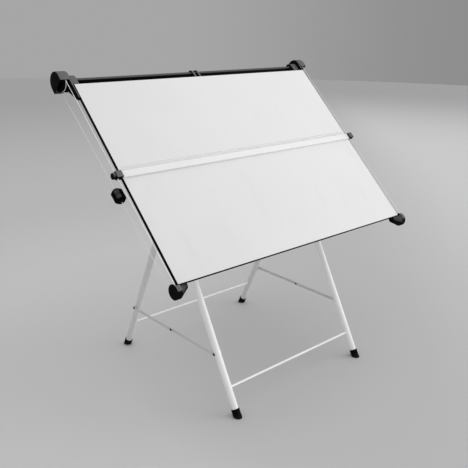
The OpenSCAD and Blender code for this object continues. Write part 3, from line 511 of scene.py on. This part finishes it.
# A round head that stands out from its seat; inside its crown the radius is cut to the socket's hexagon.
def socketHead(seat, way, centre, radius, height, turned, look=dome, axis="x", count=36):
    profile = eased([(0, 0), (0, radius), (look["collar"] * height, radius), (height, look["crown"] * radius),
                     (height, socket["mouth"] * radius), (look["deep"] * height, socket["foot"] * radius),
                     (look["floor"] * height, 0)],
                    [0, look["rim"], 0.4 * height, look["soft"] * height, look["rim"], 0, 0],
                    look["steps"], False)
    inside = np.arange(len(profile))[:, None] >= 4 * look["steps"] - 1

    def hollow(angle, r): return np.where(inside, np.minimum(r, hexagon(angle, socket["flat"] * radius)), r)
    return lathe(profile * [way, 1] + [seat, 0], centre, axis, count, hollow, turned=turned)


def hexHead(seat, way, centre, radius, height, turned):  # a hexagon whose corners are cut by a cone
    soft = hexed["soft"] * height
    profile = eased([(0, 0), (0, radius), (hexed["cone"] * height, radius), (height, hexed["crown"] * radius),
                     (height, 0)], [0, 0, soft, soft, 0], 3, False)

    def six(angle, r): return np.minimum(r, hexagon(angle, hexed["flat"] * radius))
    return lathe(profile * [way, 1] + [seat, 0], centre, "x", 48, six, turned=turned)


def bar(x0, x1, centre, radius, turned, count=24, ease=0.0004):  # a round bar along X with soft rims
    soft = min(ease, radius / 4)
    profile = eased([(x0, 0), (x0, radius), (x1, radius), (x1, 0)], [0, soft, soft, 0], 3, False)
    return lathe(profile, centre, "x", count, turned=turned)


tube = {"turns": 56, "ease": 0.0003, "weldRise": 0.0016, "weldReach": 0.0016, "sunk": 0.006,
        "weldAt": (0.0, 0.0006, 0.0013, 0.0022, 0.0034, 0.005, 0.007)}
cross = {"rodR": 0.0045, "rodIn": 0.0004, "tubeR": 0.0095, "tubeIn": 0.002}
foot = {"radius": 0.0175, "top": 0.033, "groove": 0.0007, "pitch": 0.0052, "from": 0.007, "to": 0.026,
        "lip": 0.0018, "taper": 0.0006, "edge": 0.0014, "bevel": 0.0004, "bevelUp": 0.0005, "hold": 0.0004,
        "core": 0.004}
plug = {"depth": 0.0035, "height": 0.002, "shoulder": 0.45, "dome": 0.005}
frames = {"rear": {"tube": "post", "plugs": "post_plugs", "turned": onRear, "lean": -rearLean,
                   "joint": stand["post"], "over": 0.011, "braceDrop": 0.046, "rodZ": 0.136,
                   "finish": shadedPostPaint},
          "front": {"tube": "leg", "plugs": "front_leg_plugs", "turned": onFront, "lean": frontLean,
                    "joint": frontLen, "over": 0.009, "braceDrop": 0.062, "rodZ": 0.104,
                    "finish": None}}
bracketEase = 0.0007


def legTube(top, turned):  # a tube's wall as a closed profile, turned about the leg's own line
    profile = boxOf(stand["sole"], top, legR, legR - stand["wall"], tube["ease"])
    return lathe(profile, (legX, 0, 0), "z", tube["turns"], looped=True, turned=turned)


# A bar between the legs whose radius rises towards its ends as rise * exp(-distance / reach), as a weld does.
def crossBar(radius, z, seat, turned):
    ends = np.array(tube["weldAt"])
    outer = np.concatenate([[legX - tube["sunk"]], seat - ends])
    high = radius + tube["weldRise"] * np.exp(-ends / tube["weldReach"])
    half = np.stack([-outer, np.concatenate([[radius + tube["weldRise"]], high])], -1)
    profile = np.concatenate([[(-outer[0], 0)], half, half[::-1] * [-1, 1], [(outer[0], 0)]])
    return lathe(profile, (0, 0, z), "x", 36, turned=turned)


# A ferrule: radius by height with ring grooves of raised cosines; each column starts on the floor, where the
# leg's own height is y * tan(lean), so the foot is cut level.
def ferrule(lean, turned):
    angle = around(56)[None, :]
    even = 0 * angle
    t = np.linspace(0, 1, 44)[:, None]
    radius, top, lip = foot["radius"], foot["top"], foot["lip"]

    def level(r): return r * np.sin(angle) * tanD(lean)
    start = level(radius) + foot["edge"]
    z = start + (top - lip - start) * t
    wave = (1 - np.cos(2 * math.pi * (z - foot["from"]) / foot["pitch"])) / 2
    grooved = (z > foot["from"]) & (z < foot["to"])
    ribbed = radius - foot["groove"] * wave ** 0.5 * grooved - foot["taper"] * t
    phi = np.linspace(0, math.pi / 2, 5)[:, None]
    flat, bevel = radius - foot["edge"], radius - foot["bevel"]
    lipR = radius - foot["taper"] - lip * (1 - np.cos(phi)) + even
    rows = [(even, level(0)), (flat + even, level(flat)), (bevel + even, level(bevel) + foot["bevelUp"]),
            (ribbed, z), (lipR, top - lip + lip * np.sin(phi) + even),
            (legR - foot["hold"] + even, top + even), (even, stand["sole"] + foot["core"] + even)]
    r, h = (np.concatenate([row[k] for row in rows]) for k in (0, 1))
    return lattice(np.stack([legX + r * np.cos(angle), r * np.sin(angle), h], -1), False, turned)


def endPlug(z, turned):  # a plug's stem in the tube, with a low dome on the rim
    height, depth, bore = plug["height"], plug["depth"], legR - stand["wall"]
    profile = eased([(-depth, 0), (-depth, bore), (0, bore), (0, legR - 0.0001),
                     (plug["shoulder"] * height, legR - 0.0002), (height, legR - plug["dome"]), (height, 0)],
                    [0, 0.0003, 0, 0.0002, 0.0006, 0.004, 0], 5, False)
    return lathe(profile + [z, 0], (legX, 0, 0), "z", 48, turned=turned)


def makeStand():
    inner = legX - legR
    for end, look in frames.items():
        body, turned, kind = end + "_frame", look["turned"], look["tube"].title()
        top, braceZ = look["joint"] + look["over"], look["joint"] - look["braceDrop"]
        rod = crossBar(cross["rodR"], look["rodZ"] / cosD(look["lean"]), inner + cross["rodIn"], turned)
        brace = crossBar(cross["tubeR"], braceZ, inner + cross["tubeIn"], turned)
        pair(end.title() + kind, [legTube(top, turned)], body, end + "_" + look["tube"], "painted_tube",
             look["finish"])
        pair(end.title() + "Foot", [ferrule(look["lean"], turned)], body, end + "_foot", "foot_rubber")
        piece(end.title() + "Rod", [rod], body, [end + "_cross_rod"], "painted_tube")
        piece(end.title() + "Brace", [brace], body, [end + "_cross_tube"], "painted_tube")
        piece(kind + "Plugs", bothSides([endPlug(top, turned)]), body, [look["plugs"]], "black_plastic")
    softPair("FoldBracket", "fold_bracket", "rear_frame", "black_plate", bracketEase)


makeStand()
print("stand made")

stay = {"z": 0.229, "width": 0.014, "thick": 0.003, "headR": 0.0055, "headT": 0.0032, "innerR": 0.0052,
        "innerT": 0.0009, "boltR": 0.003, "gap": 0.0005, "ease": 0.0008, "sunk": 0.0005}
fold = {"plate": 0.003, "length": 0.064, "pinR": 0.004, "boltR": 0.003, "head": 0.003, "margin": 0.003}
tiltGear = {"boltR": 0.005, "railHalf": 0.015, "plate": 0.003, "slotR": 0.085, "studR": 0.004,
            "studIn": 0.003}
knob = {"radius": 0.023, "height": 0.02, "hollowR": 0.0075, "hollowIn": 0.005, "lobes": 6, "neckR": 0.014,
        "neck": 0.006, "ease": 0.0022, "sunk": 0.001, "capR": 0.009, "capTopR": 0.0085, "capRim": 0.0008,
        "capT": 0.0014}

rearStayY = halfSpan - stay["z"] * tanD(rearLean)
frontStayY = -halfSpan + stay["z"] * tanD(frontLean)
stayMiddle = (frontStayY + (rearStayY - frontStayY) / 2, stay["z"])
frontStayX = legX + legR + 2 * stay["gap"]
rearStayX = frontStayX + stay["thick"] + stay["gap"]


def makeStays():
    half, spot = stay["width"] / 2, (0,) + stayMiddle
    for end, y, x in (("rear", rearStayY, rearStayX), ("front", frontStayY, frontStayX)):
        strip = plate(linkOf((y, stay["z"]), half, stayMiddle, half), x, x + stay["thick"], stay["ease"])
        pair(end.title() + "Stay", [strip], end + "_stay_", end + "_stay", "painted_tube", shadedStayPaint)
    rivet = [socketHead(rearStayX + stay["thick"], 1, spot, stay["headR"], stay["headT"], asIs),
             bar(frontStayX - stay["innerT"], frontStayX + stay["sunk"], spot, stay["innerR"], asIs)]
    pair("StayRivet", rivet, "rear_stay_", "rear_stay", "black_plate")


def stayBolt(z, turned, spacer):
    spot, radius = (0, 0, z), stay["headR"]
    outer = rearStayX if spacer else frontStayX
    inner, tip = legX - legR, outer + stay["thick"] + stay["gap"] / 2
    made = [socketHead(tip, 1, spot, radius, stay["headT"], turned),
            bar(inner, tip + stay["sunk"], spot, stay["boltR"], turned)]
    if spacer:
        made.append(bar(legX + legR, outer - stay["gap"] / 2, spot, radius, turned))
    return made


def innerHead(z, turned):
    return socketHead(legX - legR, -1, (0, 0, z), stay["headR"], stay["headT"], turned)


def crossBolt(reach, spot, radius, turned, head=socketHead):  # through the leg, with two heads
    made = [bar(legX - reach, legX + reach, spot, radius, turned)]
    return made + [head(legX + way * reach, way, spot, radius + fold["margin"], fold["head"], turned)
                   for way in (-1, 1)]


def lobeOutline():  # the furthest point out that is in the round and in none of the hollows
    angle = around(180)
    away = knob["radius"] + knob["hollowR"] - knob["hollowIn"]
    off = (angle + math.pi / knob["lobes"]) % (2 * math.pi / knob["lobes"]) - math.pi / knob["lobes"]
    inside = np.maximum(knob["hollowR"] ** 2 - (away * np.sin(off)) ** 2, 0)
    near = np.where(np.abs(away * np.sin(off)) < knob["hollowR"], away * np.cos(off) - np.sqrt(inside), 1)
    r = np.minimum(knob["radius"], near)
    for _ in range(2):
        r = (np.roll(r, 1) + 2 * r + np.roll(r, -1)) / 4
    return polar((0, 0), r, angle)


def makeStayBolts():
    reach = legR + stay["gap"] + fold["plate"]
    stepZ = fold["length"] / 2 - 2 * fold["boltR"] - fold["margin"]
    rearZ, frontZ = stay["z"] / cosD(rearLean), stay["z"] / cosD(frontLean)
    rearBolts = crossBolt(reach, (0, 0, foldAt - stepZ), fold["boltR"], onRear)
    rearBolts += crossBolt(reach, (0, 0, foldAt + stepZ), fold["boltR"], onRear)
    pins = crossBolt(reach, (0, -stand["foldOffset"], foldAt), fold["pinR"], onRear)
    rearBolts += stayBolt(rearZ, onRear, True)
    for name, shells, end, node, slot in (
            ("FrameBolts", rearBolts, "rear", "rear_frame_bolts", "black_plate"),
            ("FrameBoltHeads", [innerHead(rearZ, onRear)], "rear", "rear_frame_bolts", "painted_tube"),
            ("FrontStayBolts", stayBolt(frontZ, onFront, False), "front", "front_stay_bolts", "black_plate"),
            ("FrontStayBoltHeads", [innerHead(frontZ, onFront)], "front", "front_stay_bolts", "painted_tube"),
            ("FoldPins", pins, "rear", "fold_pins", "bolt_steel")):
        piece(name, bothSides(shells), end + "_frame", [node], slot)


def makeTiltBolts():
    half, thick, height = tiltGear["railHalf"], tiltGear["plate"], knob["height"]
    washerT = half - legR - stay["gap"] / 2

    def washer(x, spot, radius): return bar(x, x + washerT, spot, 2 * radius, onRear, 40)
    spot = (0, 0, stand["post"])
    bolts = crossBolt(half + thick + stay["gap"] / 2, spot, tiltGear["boltR"], onRear, hexHead)
    bolts += [washer(legX + x, spot, tiltGear["boltR"]) for x in (legR, -legR - washerT)]
    piece("TiltBolts", bothSides(bolts), "rear_frame", ["tilt_bolts"], "bolt_steel")
    spot, studR = (0, 0, stand["post"] - tiltGear["slotR"]), tiltGear["studR"]
    studs = [bar(legX - legR, legX + half + thick + height - tiltGear["studIn"], spot, studR, onRear),
             hexHead(legX - legR, -1, spot, studR + fold["margin"], fold["head"], onRear),
             washer(legX + legR, spot, studR)]
    piece("ClampStuds", bothSides(studs), "rear_frame", ["clamp_studs"], "bolt_steel")
    start = legX + half + thick + stay["gap"]
    end = start + height
    grip = plate(lobeOutline() + spot[1:], start + knob["neck"], end, knob["ease"], 5, onRear)
    neck = bar(start, start + knob["neck"] + knob["sunk"], spot, knob["neckR"], onRear, 48)
    low = end - knob["sunk"]
    cap = eased([(low, 0), (low, knob["capR"]), (end + knob["capRim"], knob["capTopR"]),
                 (end + knob["capT"], 0)], [0, 0.0002, 0.002, 0], 5, False)
    shells = [grip, neck, lathe(cap, spot, "x", 48, turned=onRear)]
    pair("TiltKnob", shells, "knob_", "tilt_knob", "black_plastic")


makeStays()
makeStayBolts()
makeTiltBolts()
print("stays and fasteners made")

sheet = {"ease": 0.0004, "rimEase": 0.0002, "railEase": 0.0012, "plateEase": 0.0006}
screw = {"shankR": 0.002, "in": 0.009, "headR": 0.004, "headT": 0.0024, "edge": 0.012, "railEdge": 0.04}
rail = {"height": 0.02, "from": 0.11, "length": 0.66}
base = {"thick": 0.006, "width": 0.03, "inset": 0.006, "topLen": 0.08, "lowLen": 0.07, "rootR": 0.008,
        "rootS": 0.02, "bossEnd": 0.009, "armEase": 0.001}
bearing = {"width": 0.036, "left": 0.012, "ring": 0.01, "wall": 0.006, "base": 0.046}


def slab(outline, x0, x1, ease=0.0008, steps=4): return plate(outline, x0, x1, ease, steps, onBoard)


def makeBoard():
    half, high, thick, out = board["width"] / 2, board["height"], board["thick"], board["band"]
    panel = slab(boxOf(0, high, -thick, 0, sheet["ease"]), -half, half, sheet["ease"], 3)
    piece("Panel", [panel], "board", ["board_panel"], "board_laminate")
    ring = boxOf(0, -out, 0, -thick, [0.0001, 0.0004, 0.0004, 0.0001], 4)
    flat = inset(boxOf(-half, half, 0, high, sheet["rimEase"]), ring[:, 0])
    depth = np.broadcast_to(ring[:, 1][:, None, None], flat.shape[:2] + (1,))
    band = lattice(np.concatenate([flat, depth], -1), True, onBoard)
    piece("EdgeBand", [band], "board", ["edge_bands"], "band_plastic")
    softPair("Rail", "rail", "board", "painted_tube", sheet["railEase"], 3)
    softPair("Quadrant", "quadrant", "board", "plate_steel", sheet["plateEase"])
    softened("TiltPlates", "inner_tilt_plates", "board", "plate_steel", sheet["plateEase"])


def boardScrew(x, s, below):  # a pan head under the board along its normal, and its shank up into the board
    back, tip = -board["thick"] - below, -board["thick"] + screw["in"]
    shank = [(back, 0), (back, screw["shankR"]), (tip, screw["shankR"]), (tip, 0)]
    return [socketHead(back, -1, (x, s, 0), screw["headR"], screw["headT"], onBoard, pan, "z", 24),
            lathe(shank, (x, s, 0), "z", 12, turned=onBoard)]


def makeScrews():
    middleX = edgeX - base["inset"] - base["width"] / 2
    high, edge, thick = board["height"], screw["edge"], base["thick"]
    railEnds = rail["from"] + screw["railEdge"], rail["from"] + rail["length"] - screw["railEdge"]
    topEnds = high - base["topLen"] + edge, high - base["rootS"] - base["rootR"] - edge
    lowEnds = base["bossEnd"] + edge, base["lowLen"] - edge
    spots = [(legX, s, rail["height"]) for s in railEnds]
    spots += [(middleX, s, thick) for s in topEnds + lowEnds]
    shells = bothSides([s for spot in spots for s in boardScrew(*spot)])
    for way in (-1, 1):
        shells += boardScrew(way * (bearing["width"] / 2 - edge) - bearing["left"],
                             high - bearing["base"] + edge, thick)
    piece("BoardScrews", shells, "board", ["board_screws"], "bolt_steel")


makeBoard()
makeScrews()
print("board made")

cheek = {"thick": 0.0053, "radius": 0.04, "beakR": 0.031, "beakUp": 0.0065, "noseR": 0.009, "noseS": 0.058,
         "noseDrop": 0.011, "ease": 0.0009}
topCover = {"wall": 0.002, "width": 0.0385, "skirt": 0.0223, "ease": 0.0012, "wallIn": 0.0008}
lowCover = {"radius": 0.0285, "wall": 0.0025, "face": 0.0025, "skirt": 0.012, "lap": 0.0003, "dish": 0.0006,
            "dishR": 0.0075, "backEase": 0.0002, "frontEase": 0.0014, "dishEase": 0.0003}

cheekX = edgeX + gap
cheekOut = cheekX + cheek["thick"]
baseX = edgeX - base["inset"] - base["width"]
baseN = -board["thick"] - base["thick"]
topFlangeR, lowFlangeR = drive["topR"] + drive["flangeUp"], drive["lowR"] + drive["flangeUp"]
topGrooveR, lowGrooveR = (r - drive["wireR"] - drive["wireGap"] for r in (drive["topR"], drive["lowR"]))
drumX = wireX - drive["side"] - drive["flange"]
drumEnd = topWireX + drive["side"] + drive["flange"]
lowX = wireX - drive["side"] - drive["rim"]
lowEnd = wireX + drive["side"] + drive["rim"]
hubX = cheekOut + 2 * gap
lowFaceX = lowEnd + gap
shaftReach = drumEnd + drive["shaftOver"]


def armOutline(radius):
    root = (board["height"] - base["rootS"], baseN + base["thick"] / 2 - base["rootR"])
    return linkOf(shaftAt, radius, root, base["rootR"])


def baseSlab(length, x0, x1):  # a plate under the board's top edge
    high = board["height"]
    return slab(boxOf(high - length, high, baseN, -board["thick"], 0.001, 4), x0, x1)


def makeTopGear():
    beak = linkOf((shaftS, shaftN + cheek["beakUp"]), cheek["beakR"],
                  (board["height"] - cheek["noseS"], -cheek["noseDrop"]), cheek["noseR"])
    outline = unionOf(shaftAt, [polar(shaftAt, cheek["radius"], around(96)), beak])
    shells = [baseSlab(base["topLen"], baseX, baseX + base["width"]),
              slab(armOutline(baseN - shaftN), baseX, cheekX, base["armEase"]),
              slab(outline, cheekX, cheekOut, cheek["ease"])]
    pair("TopBracket", shells, "board", "top_bracket", "black_plastic")
    coverIn, coverEnd = topFlangeR + gap, cheekOut + topCover["width"]
    coverOut, skirtS = coverIn + topCover["wall"], shaftS - topCover["skirt"]

    def arch(r):  # half a circle over the shaft, with straight sides down to the skirt
        half = polar(shaftAt, r, np.linspace(-math.pi / 2, math.pi / 2, 49))
        return np.concatenate([[(skirtS, shaftN - r)], half, [(skirtS, shaftN + r)]])
    wall = np.concatenate([arch(coverOut), arch(coverIn)[::-1]])
    shells = [slab(wall, cheekOut, coverEnd - topCover["wallIn"], 0.0003, 3),
              slab(arch(coverOut), coverEnd - topCover["wall"], coverEnd, topCover["ease"], 5)]
    pair("TopCover", shells, "board", "top_cover", "black_plastic")
    start = -bearing["left"] - bearing["width"] / 2
    shells = [baseSlab(bearing["base"], start, start + bearing["width"])]
    shells += [slab(armOutline(drive["shaftR"] + bearing["wall"]), x, x + bearing["ring"], base["armEase"])
               for x in (start, start + bearing["width"] - bearing["ring"])]
    piece("MiddleBearing", shells, "board", ["shaft_bearing"], "black_plastic")


# A wheel: a hub from hubX, then two flanges of width lip with the wire's groove between, as a closed profile.
def groovedWheel(at, bore, hubR, x0, x1, lip, flangeR, grooveR, edge, inner, count):
    profile = eased([(hubX, bore), (hubX, hubR), (x0, hubR), (x0, flangeR), (x0 + lip, flangeR),
                     (x0 + lip, grooveR), (x1 - lip, grooveR), (x1 - lip, flangeR), (x1, flangeR),
                     (x1, bore)], [0, 0.0005, 0, edge, edge, inner, inner, edge, edge, 0], 4)
    return lathe(profile, (0,) + at, "x", count, looped=True, turned=onBoard)


def makeDrive():
    r, inner = drive["shaftR"], drive["shaftR"] - drive["shaftWall"]
    profile = boxOf(-shaftReach, shaftReach, r, inner, 0.0004)
    shaft = lathe(profile, (0,) + shaftAt, "x", 48, looped=True, turned=onBoard)
    piece("Shaft", [shaft], "drive", ["shaft"], "black_plate")
    drum = groovedWheel(shaftAt, r, r + drive["hubWall"], drumX, drumEnd, drive["flange"], topFlangeR,
                        topGrooveR, 0.0006, 0.0004, 72)
    piece("TopPulleys", bothSides([drum]), "drive", ["top_pulleys"], "black_plastic")
    wheel = groovedWheel(axleAt, drive["lowBoreR"], drive["lowHubR"], lowX, lowEnd, drive["rim"], lowFlangeR,
                         lowGrooveR, 0.0004, 0.0006, 56)
    pair("LowPulley", [wheel], "pulley_", "bottom_pulley", "black_plastic")


def dished(x0, x1, radius, look):  # the profile of a disc whose outer face has a shallow dish
    floorX, rimEase = x1 - look["dish"], look["dishEase"]
    return eased([(x0, 0), (x0, radius), (x1, radius), (x1, look["dishR"]), (floorX, look["dishR"] - 0.0005),
                  (floorX, 0)], [0, look["backEase"], look["frontEase"], rimEase, rimEase, 0], 5, False)


def makeLowGear():
    r = lowCover["radius"]
    opening = math.asin(lowCover["skirt"] / r)
    arc = np.linspace(math.pi / 2 - opening, 3 * math.pi / 2 + opening, 73)
    outline = np.concatenate([polar(axleAt, r, arc), polar(axleAt, r - lowCover["wall"], arc)[::-1]])
    face = dished(lowFaceX, lowFaceX + lowCover["face"], r, lowCover)
    shells = [slab(outline, edgeX + 2 * gap, lowFaceX + lowCover["lap"], 0.0004, 3),
              lathe(face, (0,) + axleAt, "x", 72, turned=onBoard)]
    pair("LowCover", shells, "board", "bottom_cover", "black_plastic")
    softPair("LowBracket", "bottom_bracket", "board", "black_plastic", 0.0008, finish=lowSheenPlastic)
    refinish("bottom_axles", "bolt_steel")


wire = {"topSteps": 150, "lowSteps": 48, "runSteps": 14, "sides": 10}


# The wire: a helix of step per turn on the top pulley, down the back, half a turn on the bottom pulley and up
# again. Rings lie square to the path, and the UV map runs along the wire and round it.
def wireShell(side):
    a = np.radians(np.linspace(-upperAngle, topTurn - upperAngle, wire["topSteps"]))
    top = np.stack([topWireX - drive["step"] * (a + math.radians(upperAngle)) / (2 * math.pi),
                    shaftS + drive["topR"] * np.sin(a), shaftN + drive["topR"] * np.cos(a)], -1)
    b = np.radians(np.linspace(-returnAngle, 180 - upperAngle, wire["lowSteps"]))
    low = np.stack([wireX + 0 * b, axleS - drive["lowR"] * np.sin(b), axleN - drive["lowR"] * np.cos(b)], -1)
    run = np.linspace(0, 1, wire["runSteps"])[1:-1, None]
    path = np.concatenate([top, top[-1] + (low[0] - top[-1]) * run, low, low[-1] + (top[0] - low[-1]) * run])
    step = np.roll(path, -1, 0) - path
    ahead = step / np.linalg.norm(step, axis=1, keepdims=True)
    along = ahead + np.roll(ahead, 1, 0)
    along /= np.linalg.norm(along, axis=1, keepdims=True)
    across = np.array([1.0, 0, 0]) - along[:, :1] * along
    across /= np.linalg.norm(across, axis=1, keepdims=True)
    other = np.cross(along, across)
    turn = around(wire["sides"])[None, :, None]
    ring = path[:, None] + drive["wireR"] * (np.cos(turn) * across[:, None] + np.sin(turn) * other[:, None])
    points, faces = lattice(ring, True, onBoard)
    length = np.concatenate([[0], np.cumsum(np.linalg.norm(step, axis=1))])
    near, far, k = length[:-1], length[1:], np.arange(wire["sides"])
    u = np.stack([near, near, far, far], -1)[:, None].repeat(len(k), 1)
    v = np.stack([k, k + 1, k + 1, k], -1)[None].repeat(len(path), 0) / len(k)
    return points * [side, 1, 1], faces, np.stack([u, v], -1).reshape(-1, 2)


def makeWires():
    for side, hand in hands:
        points, faces, laid = wireShell(side)
        if side < 0:  # mirrored, so each face runs the other way round
            faces = [face[::-1] for face in faces]
            laid = laid.reshape(-1, 4, 2)[:, ::-1].reshape(-1, 2)
        mesh = bpy.data.meshes.new("Wire." + hand)
        mesh.from_pydata(points.tolist(), [], faces)
        mesh.uv_layers.new(name="laid").data.foreach_set("uv", laid.ravel())
        mesh.shade_smooth()
        settle(bpy.data.objects.new("Wire." + hand, mesh), "board", ["wire_" + hand], "wire_steel")


makeTopGear()
makeDrive()
makeLowGear()
makeWires()
print("pulleys, covers and wires made")

ruler = {"at": 0.441, "width": 0.028, "height": 0.0085, "lift": 0.0005, "seat": 0.006, "strip": 0.021,
         "stripT": 0.0025, "stripIn": 0.017, "bevel": 0.003, "edge": 0.0009, "ease": 0.0003}
block = {"width": 0.026, "ease": 0.0014}
brake = {"radius": 0.0125, "thick": 0.012, "stemR": 0.003, "neckR": 0.009, "neck": 0.002, "up": 0.003,
         "ribs": 22, "ribDeep": 0.0007, "ribFrom": 0.0016, "neckIn": 0.0005, "stemIn": 0.001, "dish": 0.0007,
         "dishR": 0.006, "backEase": 0.0006, "frontEase": 0.0018, "dishEase": 0.0004}
weight = {"radius": 0.0225, "length": 0.055, "cut": 0.01, "at": 0.405, "groove": 0.0012, "grooveHalf": 0.0012}


def makeRuler():
    end, ease = edgeX + 2 * gap, ruler["ease"]
    s, n, w, h = ruler["at"], ruler["lift"], ruler["width"], ruler["height"]
    half, t = edgeX - ruler["stripIn"], ruler["stripT"]
    low, high = s + w - ruler["seat"], s + w + ruler["strip"]
    beam = eased([(s, n), (low, n), (low, n + t), (s + w, n + t), (s + w, n + h), (s, n + h)],
                 [0.0003, 0.0001, 0.0001, 0.0003, 0.0014, 0.0014], 5)
    strip = eased([(low, n), (high, n), (high, n + ruler["edge"]), (high - ruler["bevel"], n + t),
                   (low, n + t)], 0.0002, 3)
    piece("RulerBeam", [slab(beam, -end, end, ease, 3)], "ruler", ["ruler_beam"], "ruler_white")
    piece("RulerStrip", [slab(strip, -half, half, ease, 3)], "ruler", ["ruler_strip"], "ruler_clear")
    softPair("RulerBlock", "ruler_block", "ruler", "black_plastic", block["ease"], 3)


def makeBrake():
    face = edgeX + 2 * gap + block["width"] + gap
    spot = (0, ruler["at"] + ruler["width"] / 2, brake["up"])
    stemX = topWireX + drive["wireR"] + drive["wireGap"]
    grip = dished(face + brake["neck"], face + brake["thick"], brake["radius"], brake)

    def ribs(angle, r):  # raised cosines round the rim
        wave = (1 + np.cos(brake["ribs"] * angle)) / 2
        return r - brake["ribDeep"] * wave * (r > brake["radius"] - brake["ribFrom"])
    shells = [lathe(grip, spot, "x", 176, ribs, turned=onBoard),
              bar(face, face + brake["neck"] + brake["neckIn"], spot, brake["neckR"], onBoard, 40),
              bar(stemX, face + brake["stemIn"], spot, brake["stemR"], onBoard)]
    piece("BrakeKnob", mirrored(shells), "brake", ["brake_knob"], "black_plastic")


def onReturn(p):  # z along the wire's return run, below the board
    lain = p @ turnX(-90).T + [0, (weight["at"] - axleS) / cosD(returnAngle), -drive["lowR"]]
    return onBoard(lain @ turnX(returnAngle).T + [wireX, axleS, axleN])


def makeWeights():  # an eight-sided outline with a ring groove in its middle, turned about the wire
    r, half, cut = weight["radius"], weight["length"] / 2, weight["cut"]
    g, gh, hole = weight["groove"], weight["grooveHalf"], drive["wireR"] + drive["wireGap"]
    profile = eased([(-half, hole), (-half, r - cut), (-half + cut, r), (-gh - g, r), (-gh, r - g),
                     (gh, r - g), (gh + g, r), (half - cut, r), (half, r - cut), (half, hole)],
                    [0, 0.0012, 0.0012, 0.0004, 0.0004, 0.0004, 0.0004, 0.0012, 0.0012, 0], 5)
    shell = lathe(profile, axis="z", count=64, looped=True, turned=onReturn)
    pair("Weight", [shell], "weight_", "weight", "black_plastic", weightSheenPlastic)
    for _, hand in hands:
        refinish("weight_core_" + hand, "core_iron")


makeRuler()
makeBrake()
makeWeights()
print("ruler and weights made")

lamps = {"overhead": {"towards": (0.25, -0.1, 0.95), "spread": 110, "sun": 0.35},
         "side": {"towards": (0.8, -0.54, 0.22), "spread": 45, "sun": 1.1}}
light = {"world": 0.78, "slant": 0.3}
# Each pair is where a fade starts and ends: aside runs to the right in the view, away from the middle.
studio = {"aside": (0.746, -0.666, 0), "backLeft": 166, "backRight": 142, "backAside": (-0.12, 0.36),
          "near": 185, "far": 161, "nearAway": (2.0, 10.0), "bright": 205, "brightAside": (0.7, 2.2),
          "brightAway": (5.2, 11.8), "lift": 196, "liftAside": (-0.6, 0.2), "liftAway": (1.2, 2.8),
          "band": 0.5, "bandAside": (-0.2, 0.6), "bandFrom": (0.5, 0.9), "bandTo": (1.0, 1.8),
          "speck": 150, "rings": (0.4, 1, 2, 4, 8, 14), "under": 0.0002}


def makeFloor():  # a round floor: its tone fades by the distance from the middle and by the way to the right
    turn, radius = around(96)[None, :], np.array(studio["rings"], float)[:, None]
    disc = np.stack([radius * np.cos(turn), radius * np.sin(turn), 0 * radius * turn - studio["under"]], -1)
    points, faces = lattice(disc)
    mesh = bpy.data.meshes.new("Floor")
    mesh.from_pydata(points.tolist(), [], faces[:-1])
    floor = bpy.data.objects.new("Floor", mesh)
    bpy.context.scene.collection.objects.link(floor)
    made = Finish("FloorPaper", Roughness=0.9)
    away = made.node("ShaderNodeVectorMath", {"operation": "LENGTH"}, {0: made.place}, "Value")
    aside = made.dot(made.place, studio["aside"])

    def fade(value, key): return made.fade(value, *studio[key])
    # Painted light: bright is a lighter patch to the right, and lift and band lighten the floor at the front
    # left, where the stand's shadow falls.
    bright = fade(aside, "brightAside") * (1 - fade(away, "brightAway"))
    band = fade(away, "bandFrom") * (1 - fade(away, "bandTo")) * (1 - fade(aside, "bandAside"))
    lift = (1 - fade(aside, "liftAside")) * (1 - fade(away, "liftAway")) + band * studio["band"]
    tone = made.mix(fade(away, "nearAway"), studio["near"], studio["far"])
    tone = made.mix(lift, made.mix(bright, tone, studio["bright"]), studio["lift"])
    made.feed(Base_Color=made.mix(made.noise(6, 3) * 0.04, tone, studio["speck"]),
              Normal=made.bump(made.noise(300, 2), 0.0001))
    mesh.materials.append(made.material)


def addLamps():
    for name, look in lamps.items():
        sun = bpy.data.lights.new(name + "Softbox", "SUN")
        sun.energy, sun.angle = look["sun"], math.radians(look["spread"])
        lamp = bpy.data.objects.new(name + "Softbox", sun)
        x, y, z = look["towards"]
        lamp.rotation_euler = (math.acos(z / math.hypot(x, y, z)), 0, math.atan2(y, x) + math.pi / 2)
        bpy.context.scene.collection.objects.link(lamp)


def addWorld():  # soft light that is stronger from the right, and a backdrop for the camera and reflections
    world = bpy.data.worlds.new("Studio")
    world.use_nodes = True
    bpy.context.scene.world = world
    world.node_tree.nodes.clear()
    sky = Tree(world.node_tree)
    aside = sky.dot(sky.node("ShaderNodeTexCoord", result="Generated"), studio["aside"])
    shade = sky.mix(sky.fade(aside, *studio["backAside"]), studio["backLeft"], studio["backRight"])
    camera, glossy, through = (sky.node("ShaderNodeLightPath", result="Is %s Ray" % kind)
                               for kind in ("Camera", "Glossy", "Transmission"))
    strength = (aside * light["slant"] + 1) * light["world"]
    soft = sky.node("ShaderNodeBackground", {}, {"Color": (1, 1, 1, 1), "Strength": strength})
    drop = sky.node("ShaderNodeBackground", {}, {"Color": shade})
    mixed = sky.node("ShaderNodeMixShader", {}, {0: camera + glossy + through, 1: soft, 2: drop})
    sky.node("ShaderNodeOutputWorld", {}, {"Surface": mixed})
    bpy.context.scene.view_settings.view_transform = "Standard"


makeFloor()
addLamps()
addWorld()
print("studio made")
